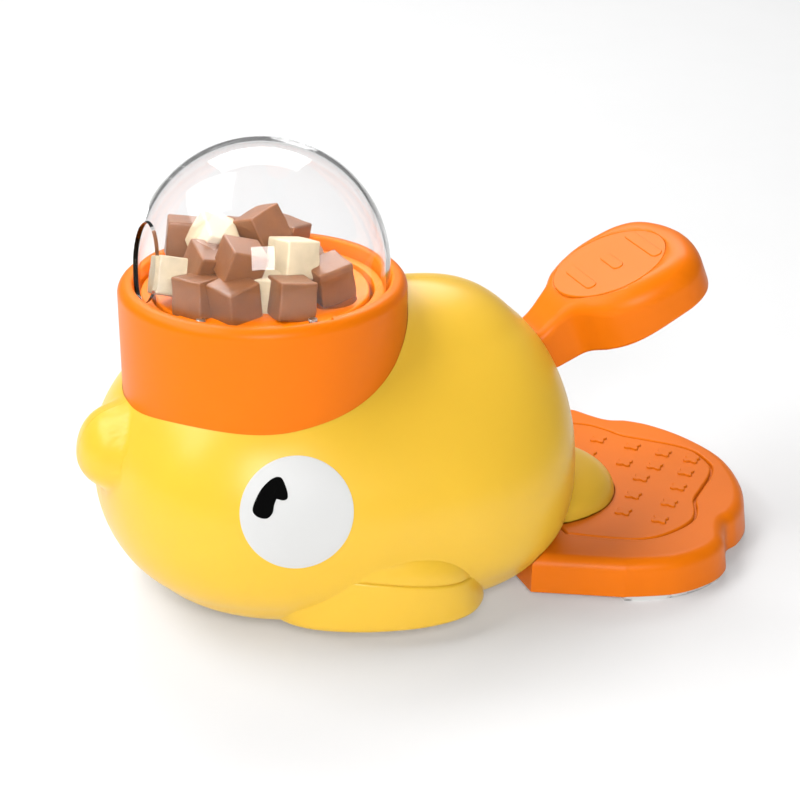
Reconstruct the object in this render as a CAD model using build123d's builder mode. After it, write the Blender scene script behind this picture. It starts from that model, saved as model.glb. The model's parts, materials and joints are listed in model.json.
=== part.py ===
"""Duck-shaped treat dispenser: pressing the rear paddle drops one treat onto the tray."""
import math
import os

from build123d import *

os.makedirs("parts", exist_ok=True)

# Fits and cuts
wall = 2.6
seat_gap = 0.15
moving_gap = 0.4
running_fit = 0.05
seam_gap = 0.24
overrun = 40.0

# Screws
screw_head_radius = 2.9
screw_head_height = 1.9
screw_shank_radius = 1.4
screw_fit = 0.06

# Body: egg-shaped casing about its highest station, beak towards -X
body_peak_x = -22.0
body_front_length = 128.8
body_rear_length = 84.1
body_half_width = 87.2
body_waist_z = 61.3
body_crown_height = 73.3
body_belly_depth = 63.3
body_base_z = 3.0
front_crown_power = 2.17
rear_crown_power = 2.43
side_crown_power = 1.5
belly_power = 3.22
plan_fullness_share = 0.703
belly_height_shares = (1.0, 0.87, 0.67, 0.43, 0.2)
crown_height_shares = (0.0, 0.26, 0.5, 0.71, 0.84, 0.93, 0.975, 0.9975)

# Beak: blunt bulb at the front of the casing
beak_tip_x = -160.0
beak_length = 18.0
beak_half_width = 22.0
beak_half_height = 18.0
beak_z = 77.0

# Casing screws, bosses and ribs
boss_radius = 5.0
boss_places = ((-130.0, 68.0), (-105.0, 30.0), (-35.0, 25.0), (30.0, 24.0), (4.0, 121.5))
boss_head_offset = 9.0
boss_screw_length = 18.0
rib_angles = (-145.0, -90.0, 90.0, 145.0)
rib_width = 10.0
rib_height = 9.0

# Eyes: discs let into the casing, tilted with its side
eye_center = (-87.0, -77.8, 70.0)
eye_normal = (-0.23, -0.89, 0.39)
eye_radius = 23.5
eye_depth = 1.0
pupil_outline_shares = (
    (-0.25, 0.59), (-0.15, 0.37), (-0.15, 0.2), (-0.25, 0.17), (-0.33, 0.26),
    (-0.4, 0.06), (-0.5, -0.11), (-0.66, -0.09), (-0.76, 0.07), (-0.65, 0.3), (-0.45, 0.53),
)
pupil_notch = 4

# Hopper collar: round ring standing in the casing's top
collar_x = -74.6
collar_radius = 62.3
collar_bottom_z = 92.0
collar_top_z = 144.5
collar_skirt_thickness = 6.7
lip_outer_rounding = 4.8
lip_inner_rounding = 1.4
ledge_z = 139.5
ledge_radius = 48.0
dome_groove_depth = 2.6
dome_groove_inner_wall = 52.4
window_half_width = 44.0
window_top_z = 117.4
window_start = 30.0
lift_notch_width = 22.0
lift_notch_depth = 3.6
lift_notch_reach = 2.6
lift_notch_angle = -89.0
collar_screw_length = 16.0

# Clear dome
dome_radius = 55.0
dome_thickness = 2.2
dome_center_z = 149.5
dome_hole_radius = 16.8
dome_hole_z = 157.5

# Dispensing disc and the floor below it
disc_radius = 46.0
disc_top_z = 139.2
disc_thickness = 17.8
disc_edge_rounding = 1.2
disc_lift = 0.3
pocket_radius = 12.6
pocket_track_radius = 30.5
pocket_rest_angle = -45.0
mouth_angle = -105.0
mouth_radius = 13.2
floor_thickness = 3.0
floor_screw_angles = (-20.0, 75.0, 165.0)
floor_screw_length = 9.0
shield_start_angle = -152.0
shield_end_angle = -71.0
shield_inner_radius = 17.0
shield_thickness = 2.2
shield_edge_rounding = 0.8
shield_screw_angles = (-138.0, -84.0)
shield_screw_length = 6.0
shield_screw_radius = 1.0
shield_screw_head = 1.9
shield_screw_head_height = 1.2

# Disc spindle, bush, gear and clip
spindle_radius = 3.0
spindle_bottom_z = 103.4
spindle_top_cover = 3.0
bush_radius = 5.0
bush_boss_radius = 9.0
gear_module = 0.8
gear_teeth = 18
gear_pressure_angle = 20.0
gear_width = 8.0
gear_center_z = 110.0
gear_backlash = 0.16
gear_dedendum_share = 1.25
gear_addendum_share = 1.0
rack_addendum_share = 0.85
flank_steps = 4
clip_radius = 5.2
clip_thickness = 0.8
clip_gap_width = 2.4

# Rack and its guide
rack_thickness = 6.0
rack_teeth_front = 7
rack_teeth_rear = 4
rack_lead = 22.0
fork_length = 12.0
fork_roof = 1.6
guide_length = 44.0
guide_lip = 3.0
guide_wall = 3.0
guide_lead = 18.0
guide_screw_inset = 8.0
guide_foot_width = 9.0
guide_foot_thickness = 2.6

# Paddle lever: hinge, crank and the pressed pad
pivot_x = 28.0
pivot_z = 86.0
pivot_radius = 2.5
pivot_boss_radius = 6.5
pivot_boss_depth = 14.0
hub_radius = 9.0
neck_half_width = 12.5
hub_bush_radius = 4.0
hub_bush_length = 8.0
lever_angle = 18.0
crank_length = 24.0
crank_half_width = 5.5
crank_thickness = 8.0
crank_offset = 1.5
crank_pin_radius = 2.0
fork_fit = 0.15
paddle_anchor = (60.0, 0.0, 115.5)
paddle_slope = 21.5
paddle_thickness = 22.0
paddle_length = 73.5
paddle_half_width = 36.0
paddle_outline_shares = (
    (0.07, 0.46), (0.16, 0.66), (0.28, 0.855), (0.42, 0.965),
    (0.58, 1.0), (0.74, 0.965), (0.88, 0.77), (0.97, 0.4),
)
paddle_top_rounding = 8.5
paddle_bottom_rounding = 2.0
neck_thickness = 28.0
neck_reach = 16.0
neck_rounding = 5.0
paddle_panel_length = 54.5
paddle_panel_half_width = 26.0
paddle_panel_center = 35.5
paddle_panel_depth = 1.6
paddle_panel_gap = 0.5
bar_places = ((19.5, 25.0), (36.5, 17.0), (54.5, 33.0))
bar_width = 5.6
bar_height = 0.7
slot_side_gap = 1.4
slot_top_gap = 1.2
slot_bottom_z = 74.0
slot_start_x = 41.0

# Chute from the drop mouth to the rear outlet
chute_inner_width = 28.0
chute_wall = 1.8
chute_wall_height = 14.0
chute_mouth_z = 103.0
chute_back = 15.4
outlet_x = 60.5
outlet_z = 38.2
outlet_half_width = 17.2
outlet_height = 32.0
outlet_drop = 3.4
chute_roof_x = 48.0
chute_roof_length = 16.0
chute_roof_z = 64.0
chute_roof_thickness = 2.5

# Return spring between the chute's roof and the lever
spring_x = 49.0
spring_radius = 4.6
spring_wire = 1.0
spring_turns = 4
spring_pad_radius = 6.0
spring_pad_z = 78.4

# Tail ramp: half an egg behind the casing, over the tray
ramp_x = 55.0
ramp_length = 40.0
ramp_half_width = 38.0
ramp_height = 18.8
ramp_screw_places = ((72.0, -18.0), (72.0, 18.0))
ramp_screw_grip = 7.0
ramp_margin = 0.6

# Tray: webbed foot with three lobes
tray_heel_x = 26.6
toe_tip_x = 160.0
tray_half_width = 89.0
tray_bottom_z = 2.0
tray_top_z = 19.0
tray_draft = 1.2
tray_top_rounding = 4.6
rounding_steps = 4
tray_heel_share = (0.0, 0.716)
tray_flank_share = (0.27, 0.933)
tray_lobe_shares = (
    (0.443, 1.0), (0.585, 0.967), (0.675, 0.885), (0.72, 0.77), (0.757, 0.69),
    (0.815, 0.645), (0.893, 0.52), (0.965, 0.29),
)
tray_panel_depth = 2.0
tray_panel_gap = 0.6
tray_panel_flank_share = (0.185, 0.53)
tray_panel_shares = (
    (0.35, 0.695), (0.455, 0.735), (0.565, 0.695), (0.645, 0.625), (0.69, 0.53),
    (0.722, 0.43), (0.785, 0.33), (0.86, 0.215), (0.905, 0.11),
)
tray_panel_toe_share = 0.913
print_toe_length = 6.4
print_toe_width = 3.0
print_toe_spread = 38.0
print_height = 0.7
print_rows = (
    (0.44, (-0.42, 0.42)),
    (0.53, (-0.57, -0.27, 0.27, 0.57)),
    (0.62, (-0.42, -0.1, 0.1, 0.42)),
    (0.71, (-0.27, 0.0, 0.27)),
    (0.79, (-0.13, 0.13)),
    (0.86, (0.0,)),
)
pad_inset = 1.4
pad_spans = ((0.28, 0.66, -1.0, -0.5), (0.28, 0.66, 0.5, 1.0), (0.84, 1.0, -0.5, 0.5))
tongue_length = 34.0
tongue_half_width = 26.0
tongue_bottom_z = 0.8
tongue_screw_places = ((-2.0, -17.0), (-2.0, 17.0), (9.0, 0.0))
tongue_screw_length = 5.4
tongue_screw_head_height = 1.4

# Wings: low flippers on both sides
wing_x = -40.0
wing_bottom_z = 11.0
wing_groove_z = 31.5
wing_panel_rise = 13.0
wing_panel_inset = 5.0
wing_base_inset = 1.0
wing_tilt = 9.5
wing_groove_width = 0.8
wing_groove_depth = 0.9
wing_length = 91.0
wing_reach = 89.6
wing_outline_shares = (
    (-0.53, 0.6), (-0.46, 0.755), (-0.34, 0.865), (-0.15, 0.955),
    (0.08, 1.0), (0.3, 0.965), (0.435, 0.83), (0.47, 0.67),
)
wing_screw_places = ((-52.0, 20.5), (-20.0, 20.5))
wing_screw_depth = 14.6
wing_screw_length = 8.0

# Base plate and rubber feet
base_front = 64.0
base_rear = 36.0
base_half_width = 38.0
base_flange = 11.0
base_flange_thickness = 3.4
base_rear_screw_shares = (0.6,)
base_front_screw_shares = (0.3, 0.75)
base_screw_length = 4.2
post_x = -20.0
post_radius = 6.0
base_pad_radius = 9.0
base_pad_places = ((-72.0, -18.0), (-72.0, 18.0), (-20.0, -26.0), (-20.0, 26.0))

# Worked-out places
collar_inner_radius = collar_radius - collar_skirt_thickness
disc_bottom_z = disc_top_z - disc_thickness
floor_top_z = disc_bottom_z - disc_lift
floor_bottom_z = floor_top_z - floor_thickness
dome_groove_z = ledge_z - dome_groove_depth
dome_groove_radius = dome_radius + moving_gap
gear_pitch_radius = gear_module * gear_teeth / 2
gear_pitch = math.pi * gear_module
gear_bottom_z = gear_center_z - gear_width / 2
gear_top_z = gear_center_z + gear_width / 2
rack_root_y = gear_pitch_radius + gear_module * gear_dedendum_share
rack_back_y = rack_root_y + rack_thickness
crank_rest_angle = lever_angle / 2
crank_pin_x = pivot_x - crank_length * math.sin(math.radians(crank_rest_angle))
crank_pin_z = pivot_z + crank_length * math.cos(math.radians(crank_rest_angle))
tray_length = toe_tip_x - tray_heel_x
collar_axis = Axis((collar_x, 0, 0), (0, 0, 1))
up_from_base = (Align.CENTER, Align.CENTER, Align.MIN)
down_from_top = (Align.CENTER, Align.CENTER, Align.MAX)


def around(radius, angle):
    """Plan place at a radius and an angle about the hopper's upright axis."""
    turn = math.radians(angle)
    return collar_x + radius * math.cos(turn), radius * math.sin(turn)


def across(x, y, z):
    """Plane that faces +Y at a place."""
    return Plane((x, y, z), x_dir=(-1, 0, 0), z_dir=(0, 1, 0))


def rising(x, y, z):
    """Plane that faces up at a place."""
    return Plane((x, y, z))


def falling(x, y, z):
    """Plane that faces down at a place."""
    return Plane((x, y, z), x_dir=(1, 0, 0), z_dir=(0, 0, -1))


def body_reach(z, inset):
    """How far the casing reaches to the front, to the rear and to each side at a height."""
    front = body_front_length - inset
    rear = body_rear_length - inset
    side = body_half_width - inset
    if z >= body_waist_z:
        rise = (z - body_waist_z) / (body_crown_height - inset)
        powers = (front_crown_power, rear_crown_power, side_crown_power)
    else:
        rise = (body_waist_z - z) / (body_belly_depth - inset)
        powers = (belly_power, belly_power, belly_power)
    narrowing = [(1 - rise**power) ** (1 / power) for power in powers]
    return front * narrowing[0], rear * narrowing[1], side * narrowing[2]


def plan_oval(front, rear, side):
    """Egg-like closed line about the body's peak, from four full quarter curves."""
    full = plan_fullness_share
    x = body_peak_x
    Bezier((x + rear, 0), (x + rear, full * side), (x + full * rear, side), (x, side))
    Bezier((x, side), (x - full * front, side), (x - front, full * side), (x - front, 0))
    Bezier((x - front, 0), (x - front, -full * side), (x - full * front, -side), (x, -side))
    Bezier((x, -side), (x + full * rear, -side), (x + rear, -full * side), (x + rear, 0))


def other_half(points):
    """Mirrored points of the other side, in the order that closes an outline."""
    return [(x, -y) for x, y in reversed(points)]


def oval_spots(reach, side, shares):
    """Places in pairs on an end of the plan oval, by their share of the way to its flanks."""
    full = plan_fullness_share
    spots = []
    for share in shares:
        rest = 1 - share
        out = rest**3 + 3 * rest**2 * share + 3 * rest * share**2 * full
        aside = 3 * rest**2 * share * full + 3 * rest * share**2 + share**3
        spots.append((body_peak_x + reach * out, -side * aside))
        spots.append((body_peak_x + reach * out, side * aside))
    return spots


def body_form(inset):
    """The casing's egg form, drawn in by an inset."""
    depth = body_waist_z - body_base_z - inset
    height = body_crown_height - inset
    levels = [body_waist_z - share * depth for share in belly_height_shares]
    levels += [body_waist_z + share * height for share in crown_height_shares]
    with BuildPart() as form:
        for level in levels:
            with BuildSketch(Plane.XY.offset(level)):
                with BuildLine():
                    plan_oval(*body_reach(level, inset))
                make_face()
        loft()
    return form.part


def egg(length, half_width, half_height):
    """Round ball stretched to three half sizes."""
    with BuildPart() as ball:
        Sphere(1)
        scale(by=(length, half_width, half_height))
    return ball.part


def drive_screw(place, length, shank, head, head_height):
    """Screw whose head lies behind the plane and whose shank runs ahead of it."""
    with Locations(place):
        Cylinder(head, head_height, align=down_from_top)
        Cylinder(shank, length, align=up_from_base)


def bore(place, radius, depth):
    """Round hole that runs ahead of the plane."""
    with Locations(place):
        Cylinder(radius, depth, align=up_from_base, mode=Mode.SUBTRACT)


def keep(builder, label):
    """Label a finished piece and write it."""
    builder.part.label = label
    export_step(builder.part, f"parts/{label}.step")


body_outer = body_form(0)
body_clear = body_form(-seat_gap)
body_hollow = body_form(wall)
body_middle = body_form(wall / 2)
eye_bed = body_form(eye_depth)
eye_back = body_form(eye_depth - seat_gap)
shank_bore = screw_shank_radius + screw_fit
head_bore = screw_head_radius + screw_fit
wing_screw_seat_y = wing_reach - wing_screw_depth
base_screw_seat_z = body_base_z + screw_head_height / 2
base_land = base_flange / 2
base_screw_half_width = base_half_width + base_land
base_screw_spots = oval_spots(base_rear + base_land, base_screw_half_width, base_rear_screw_shares)
base_screw_spots += oval_spots(-base_front - base_land, base_screw_half_width, base_front_screw_shares)
beak_x = beak_tip_x + beak_length

# Planes that several pieces share
eye_out = Vector(*eye_normal).normalized()
eye_plane = Plane(eye_center, x_dir=Vector(0, 0, 1).cross(eye_out), z_dir=eye_out)
slope = math.radians(paddle_slope)
paddle_plane = Plane(
    paddle_anchor,
    x_dir=(math.cos(slope), 0, math.sin(slope)),
    z_dir=(-math.sin(slope), 0, math.cos(slope)),
)
side_plane = Plane((0, 0, 0), x_dir=(1, 0, 0), z_dir=(0, -1, 0))
collar_plane = Plane((collar_x, 0, 0), x_dir=(1, 0, 0), z_dir=(0, -1, 0))

mouth_x, mouth_y = around(pocket_track_radius, mouth_angle)
chute_start = Vector(mouth_x, mouth_y, chute_mouth_z)
chute_end = Vector(outlet_x, 0, outlet_z)
chute_run = (chute_end - chute_start).normalized()
chute_side = Vector(0, 0, 1).cross(chute_run).normalized()
chute_plane = Plane(chute_start - chute_run * overrun, x_dir=chute_side, z_dir=chute_run)
chute_length = (chute_end - chute_start).length + 2 * overrun
chute_turn = math.degrees(math.atan2(chute_run.Y, chute_run.X))

rib_places = [around(collar_radius - collar_skirt_thickness / 2, angle) for angle in rib_angles]
rib_bottom_z = collar_bottom_z - rib_height

# What stands inside the casing: screw bosses, hinge bosses and collar ribs
with BuildPart() as casing_works:
    for boss_x, boss_z in boss_places:
        with Locations(across(boss_x, 0, boss_z)):
            Cylinder(boss_radius, 2 * body_half_width)
    with Locations(across(pivot_x, 0, pivot_z)):
        Cylinder(pivot_boss_radius, 2 * body_half_width)
    for angle in rib_angles:
        with BuildSketch(Plane.XY.offset(rib_bottom_z)):
            with Locations(Location((collar_x, 0, 0), (0, 0, angle))):
                with Locations((collar_inner_radius, 0)):
                    Rectangle(body_front_length, rib_width, align=(Align.MIN, Align.CENTER))
        extrude(amount=rib_height)
    add(body_middle, mode=Mode.INTERSECT)
    with Locations(across(pivot_x, 0, pivot_z)):
        Cylinder(
            pivot_boss_radius + moving_gap,
            2 * (neck_half_width + moving_gap),
            mode=Mode.SUBTRACT,
        )
        Cylinder(
            pivot_radius + running_fit,
            2 * (neck_half_width + moving_gap + pivot_boss_depth),
            mode=Mode.SUBTRACT,
        )
    for rib_x, rib_y in rib_places:
        bore(rising(rib_x, rib_y, rib_bottom_z), shank_bore, rib_height)

# The whole casing, before it is parted down the middle
with BuildPart() as casing:
    add(body_outer)
    with Locations((beak_x, 0, beak_z)):
        add(egg(beak_length, beak_half_width, beak_half_height))
    add(body_hollow, mode=Mode.SUBTRACT)
    with Locations((beak_x, 0, beak_z)):
        add(
            egg(beak_length - wall, beak_half_width - wall, beak_half_height - wall),
            mode=Mode.SUBTRACT,
        )
    add(casing_works.part)
    with Locations((collar_x, 0, collar_bottom_z)):
        Cylinder(collar_radius + seat_gap, body_crown_height, align=up_from_base, mode=Mode.SUBTRACT)
    with BuildSketch(side_plane):
        slot_end_x = paddle_anchor[0] + overrun
        slot_rise = slot_top_gap / math.cos(slope)
        slot_start_top = paddle_anchor[2] + slot_rise + (slot_start_x - paddle_anchor[0]) * math.tan(slope)
        slot_end_top = paddle_anchor[2] + slot_rise + overrun * math.tan(slope)
        with BuildLine():
            Polyline(
                (slot_start_x, slot_bottom_z),
                (slot_end_x, slot_bottom_z),
                (slot_end_x, slot_end_top),
                (slot_start_x, slot_start_top),
                close=True,
            )
        make_face()
    extrude(amount=neck_half_width + slot_side_gap, both=True, mode=Mode.SUBTRACT)
    with Locations((outlet_x, 0, outlet_z - outlet_drop)):
        Box(
            overrun,
            2 * outlet_half_width,
            outlet_height + outlet_drop,
            align=(Align.CENTER, Align.CENTER, Align.MIN),
            mode=Mode.SUBTRACT,
        )
    with BuildSketch():
        with BuildLine():
            plan_oval(base_front + seat_gap, base_rear + seat_gap, base_half_width + seat_gap)
        make_face()
    extrude(amount=body_base_z + wall, mode=Mode.SUBTRACT)
    for screw_x, screw_z in wing_screw_places:
        with Locations(across(screw_x, 0, screw_z)):
            Cylinder(shank_bore, 2 * body_half_width + overrun, mode=Mode.SUBTRACT)
            Cylinder(head_bore, 2 * wing_screw_seat_y, mode=Mode.SUBTRACT)
    for spot_x, spot_y in base_screw_spots:
        bore(rising(spot_x, spot_y, 0), head_bore, base_screw_seat_z)
        bore(rising(spot_x, spot_y, 0), shank_bore, body_base_z + wall)


# Socket that an eye disc sits in
with BuildPart() as eye_socket:
    with Locations(eye_plane):
        Cylinder(eye_radius + seat_gap, 2 * eye_radius)
    add(eye_bed, mode=Mode.SUBTRACT)

with BuildPart() as body_shell_left:
    add(casing.part)
    split(bisect_by=side_plane.offset(seam_gap / 2), keep=Keep.TOP)
    add(eye_socket.part, mode=Mode.SUBTRACT)
    for boss_x, boss_z in boss_places:
        bore(side_plane.shift_origin((boss_x, 0, boss_z)), shank_bore, boss_screw_length)
keep(body_shell_left, "body_shell_left")

with BuildPart() as body_shell_right:
    add(casing.part)
    split(bisect_by=side_plane.offset(-seam_gap / 2), keep=Keep.BOTTOM)
    add(mirror(eye_socket.part, about=Plane.XZ, mode=Mode.PRIVATE), mode=Mode.SUBTRACT)
    for boss_x, boss_z in boss_places:
        bore(across(boss_x, 0, boss_z), shank_bore, boss_screw_length)
        bore(across(boss_x, boss_head_offset, boss_z), head_bore, body_half_width)
keep(body_shell_right, "body_shell_right")

with BuildPart() as shell_screws:
    for boss_x, boss_z in boss_places:
        drive_screw(
            Plane((boss_x, boss_head_offset, boss_z), x_dir=(1, 0, 0), z_dir=(0, -1, 0)),
            boss_screw_length, screw_shank_radius, screw_head_radius, screw_head_height,
        )
keep(shell_screws, "shell_screws")


def pupil_face():
    """Notched oval drawn in shares of the eye's radius."""
    points = [(x * eye_radius, y * eye_radius) for x, y in pupil_outline_shares]
    with BuildSketch(eye_plane) as face:
        with BuildLine():
            Spline(*points[pupil_notch:], *points[: pupil_notch + 1])
        make_face()
    return face.sketch


with BuildPart() as pupil_left:
    extrude(pupil_face(), amount=eye_radius, both=True)
    add(body_outer, mode=Mode.INTERSECT)
    add(eye_back, mode=Mode.SUBTRACT)
keep(pupil_left, "pupil_left")

with BuildPart() as eye_left:
    with Locations(eye_plane):
        Cylinder(eye_radius, 2 * eye_radius)
    add(body_outer, mode=Mode.INTERSECT)
    add(eye_back, mode=Mode.SUBTRACT)
    extrude(pupil_face(), amount=eye_radius, both=True, mode=Mode.SUBTRACT)
keep(eye_left, "eye_left")

with BuildPart() as pupil_right:
    mirror(pupil_left.part, about=Plane.XZ)
keep(pupil_right, "pupil_right")

with BuildPart() as eye_right:
    mirror(eye_left.part, about=Plane.XZ)
keep(eye_right, "eye_right")

floor_screw_ring = (ledge_radius + collar_inner_radius) / 2
shield_screw_ring = (ledge_radius + dome_groove_inner_wall) / 2
floor_screw_spots = [around(floor_screw_ring, angle) for angle in floor_screw_angles]
shield_screw_spots = [around(shield_screw_ring, angle) for angle in shield_screw_angles]

with BuildPart() as hopper_collar:
    with BuildSketch(collar_plane):
        with BuildLine():
            Polyline(
                (collar_radius, collar_bottom_z),
                (collar_radius, collar_top_z),
                (dome_groove_radius, collar_top_z),
                (dome_groove_radius, dome_groove_z),
                (dome_groove_inner_wall, dome_groove_z),
                (dome_groove_inner_wall, ledge_z),
                (ledge_radius, ledge_z),
                (ledge_radius, floor_top_z),
                (collar_inner_radius, floor_top_z),
                (collar_inner_radius, collar_bottom_z),
                close=True,
            )
        section = make_face()
        lip_corners = section.vertices().group_by(Axis.Y)[-1].sort_by(Axis.X)
        fillet(lip_corners[-1], radius=lip_outer_rounding)
        lip_corners = section.vertices().group_by(Axis.Y)[-1].sort_by(Axis.X)
        fillet(lip_corners[0], radius=lip_inner_rounding)
    revolve(axis=collar_axis)
    with Locations((collar_x + window_start, 0, collar_bottom_z)):
        Box(
            collar_radius,
            2 * window_half_width,
            window_top_z - collar_bottom_z,
            align=(Align.MIN, Align.CENTER, Align.MIN),
            mode=Mode.SUBTRACT,
        )
    with Locations(Location((collar_x, 0, collar_top_z), (0, 0, lift_notch_angle))):
        with Locations((dome_groove_inner_wall, 0, 0)):
            Box(
                dome_groove_radius - dome_groove_inner_wall + lift_notch_reach,
                lift_notch_width,
                2 * lift_notch_depth,
                align=(Align.MIN, Align.CENTER, Align.CENTER),
                mode=Mode.SUBTRACT,
            )
    for spot_x, spot_y in rib_places:
        bore(rising(spot_x, spot_y, collar_bottom_z), shank_bore, collar_screw_length)
    for spot_x, spot_y in floor_screw_spots:
        bore(rising(spot_x, spot_y, floor_top_z), shank_bore, floor_screw_length)
    for spot_x, spot_y in shield_screw_spots:
        bore(falling(spot_x, spot_y, ledge_z), shield_screw_radius + screw_fit, shield_screw_length)
keep(hopper_collar, "hopper_collar")

with BuildPart() as collar_screws:
    for spot_x, spot_y in rib_places:
        drive_screw(
            rising(spot_x, spot_y, rib_bottom_z),
            collar_screw_length, screw_shank_radius, screw_head_radius, screw_head_height,
        )
keep(collar_screws, "collar_screws")

guide_inner_y = rack_back_y + 2 * running_fit
guide_outer_y = guide_inner_y + guide_wall
guide_lip_top_z = gear_bottom_z - 2 * running_fit
guide_bottom_z = guide_lip_top_z - guide_lip
guide_front_x = collar_x - guide_lead
guide_rear_x = guide_front_x + guide_length
guide_screw_y = guide_outer_y + guide_foot_width / 2
guide_screw_length = guide_foot_thickness + floor_thickness - 4 * seat_gap
guide_screw_spots = [
    (guide_front_x + guide_screw_inset, guide_screw_y),
    (guide_rear_x - guide_screw_inset, guide_screw_y),
]
bush_boss_length = floor_bottom_z - gear_top_z - moving_gap

with BuildPart() as hopper_floor:
    with Locations((collar_x, 0, floor_bottom_z)):
        Cylinder(collar_inner_radius - seat_gap, floor_thickness, align=up_from_base)
        Cylinder(bush_boss_radius, bush_boss_length, align=down_from_top)
    bore(falling(mouth_x, mouth_y, floor_top_z), mouth_radius, floor_thickness)
    bore(falling(collar_x, 0, floor_top_z), bush_radius + screw_fit, floor_thickness + bush_boss_length)
    for spot_x, spot_y in floor_screw_spots:
        bore(rising(spot_x, spot_y, floor_bottom_z), shank_bore, floor_thickness)
    for spot_x, spot_y in guide_screw_spots:
        bore(rising(spot_x, spot_y, floor_bottom_z), shank_bore, floor_thickness - 2 * seat_gap)
keep(hopper_floor, "hopper_floor")

with BuildPart() as floor_screws:
    for spot_x, spot_y in floor_screw_spots:
        drive_screw(
            rising(spot_x, spot_y, floor_bottom_z),
            floor_screw_length, screw_shank_radius, screw_head_radius, screw_head_height,
        )
keep(floor_screws, "floor_screws")

with BuildPart() as spindle_bush:
    with Locations((collar_x, 0, floor_bottom_z - bush_boss_length)):
        Cylinder(
            bush_radius,
            floor_thickness + bush_boss_length + disc_lift - running_fit,
            align=up_from_base,
        )
        Cylinder(spindle_radius + running_fit, overrun, mode=Mode.SUBTRACT)
keep(spindle_bush, "spindle_bush")

with BuildPart() as treat_shield:
    with BuildSketch(Plane.XY.offset(ledge_z)):
        with BuildLine():
            sweep_angle = shield_end_angle - shield_start_angle
            outer_radius = dome_groove_inner_wall - seat_gap
            outer = CenterArc((collar_x, 0), outer_radius, shield_start_angle, sweep_angle)
            inner = CenterArc((collar_x, 0), shield_inner_radius, shield_start_angle, sweep_angle)
            Line(outer @ 0, inner @ 0)
            Line(outer @ 1, inner @ 1)
        make_face()
    extrude(amount=shield_thickness)
    fillet(faces().sort_by(Axis.Z)[-1].edges(), radius=shield_edge_rounding)
    for spot_x, spot_y in shield_screw_spots:
        bore(rising(spot_x, spot_y, ledge_z), shield_screw_radius + screw_fit, shield_thickness)
keep(treat_shield, "treat_shield")

with BuildPart() as shield_screws:
    for spot_x, spot_y in shield_screw_spots:
        drive_screw(
            falling(spot_x, spot_y, ledge_z + shield_thickness),
            shield_screw_length, shield_screw_radius, shield_screw_head, shield_screw_head_height,
        )
keep(shield_screws, "shield_screws")

with BuildPart() as dome_cover:
    with BuildSketch(collar_plane):
        with BuildLine():
            dome_inner = dome_radius - dome_thickness
            dome_bottom_z = dome_groove_z + seat_gap
            outer = CenterArc((0, dome_center_z), dome_radius, 0, 90)
            inner = CenterArc((0, dome_center_z), dome_inner, 0, 90)
            Line(outer @ 1, inner @ 1)
            Polyline(outer @ 0, (dome_radius, dome_bottom_z), (dome_inner, dome_bottom_z), inner @ 0)
        make_face()
    revolve(axis=collar_axis)
    front_plane = Plane((collar_x, 0, dome_hole_z), x_dir=(0, 1, 0), z_dir=(-1, 0, 0))
    bore(front_plane, dome_hole_radius, dome_radius + overrun)
keep(dome_cover, "dome_cover")

pocket_x, pocket_y = around(pocket_track_radius, pocket_rest_angle)
spindle_top_z = disc_top_z - spindle_top_cover
spindle_screw_length = spindle_top_cover + disc_thickness / 2
screw_recess = screw_head_height / 2

with BuildPart() as dispensing_disc:
    with Locations((collar_x, 0, disc_bottom_z)):
        Cylinder(disc_radius, disc_thickness, align=up_from_base)
    fillet(faces().sort_by(Axis.Z)[-1].edges(), radius=disc_edge_rounding)
    bore(rising(pocket_x, pocket_y, disc_bottom_z), pocket_radius, disc_thickness)
    bore(rising(collar_x, 0, disc_bottom_z), spindle_radius + screw_fit, disc_thickness - spindle_top_cover)
    bore(rising(collar_x, 0, disc_bottom_z), shank_bore, disc_thickness)
    bore(falling(collar_x, 0, disc_top_z), screw_head_radius + screw_fit, screw_recess)
keep(dispensing_disc, "dispensing_disc")

with BuildPart() as disc_spindle:
    with Locations((collar_x, 0, spindle_bottom_z)):
        Cylinder(spindle_radius, spindle_top_z - spindle_bottom_z, align=up_from_base)
    bore(falling(collar_x, 0, spindle_top_z), shank_bore, spindle_screw_length)
keep(disc_spindle, "disc_spindle")

with BuildPart() as spindle_screw:
    drive_screw(
        falling(collar_x, 0, disc_top_z - screw_recess),
        spindle_screw_length, screw_shank_radius, screw_head_radius, screw_head_height,
    )
keep(spindle_screw, "spindle_screw")


def involute(angle):
    """Involute function of a pressure angle in radians."""
    return math.tan(angle) - angle


def gear_points():
    """Outline of the gear, tooth by tooth, with involute flanks."""
    pressure = math.radians(gear_pressure_angle)
    base = gear_pitch_radius * math.cos(pressure)
    tip = gear_pitch_radius + gear_module * gear_addendum_share
    root = gear_pitch_radius - gear_module * gear_dedendum_share
    half_tooth = (gear_pitch / 2 - gear_backlash) / (2 * gear_pitch_radius) + involute(pressure)
    flank = []
    for step in range(flank_steps + 1):
        radius = base + (tip - base) * step / flank_steps
        flank.append((radius, half_tooth - involute(math.acos(base / radius))))
    flank.insert(0, (root, flank[0][1]))
    points = []
    for tooth in range(gear_teeth):
        middle = 2 * math.pi * tooth / gear_teeth
        polar = [(radius, middle - half) for radius, half in flank]
        polar += [(radius, middle + half) for radius, half in reversed(flank)]
        points += [(collar_x + r * math.cos(a), r * math.sin(a)) for r, a in polar]
    return points


with BuildPart() as drive_pinion:
    with BuildSketch(Plane.XY.offset(gear_bottom_z)):
        with BuildLine():
            Polyline(*gear_points(), close=True)
        make_face()
        with Locations((collar_x, 0)):
            Circle(spindle_radius + screw_fit, mode=Mode.SUBTRACT)
    extrude(amount=gear_width)
keep(drive_pinion, "drive_pinion")

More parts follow.
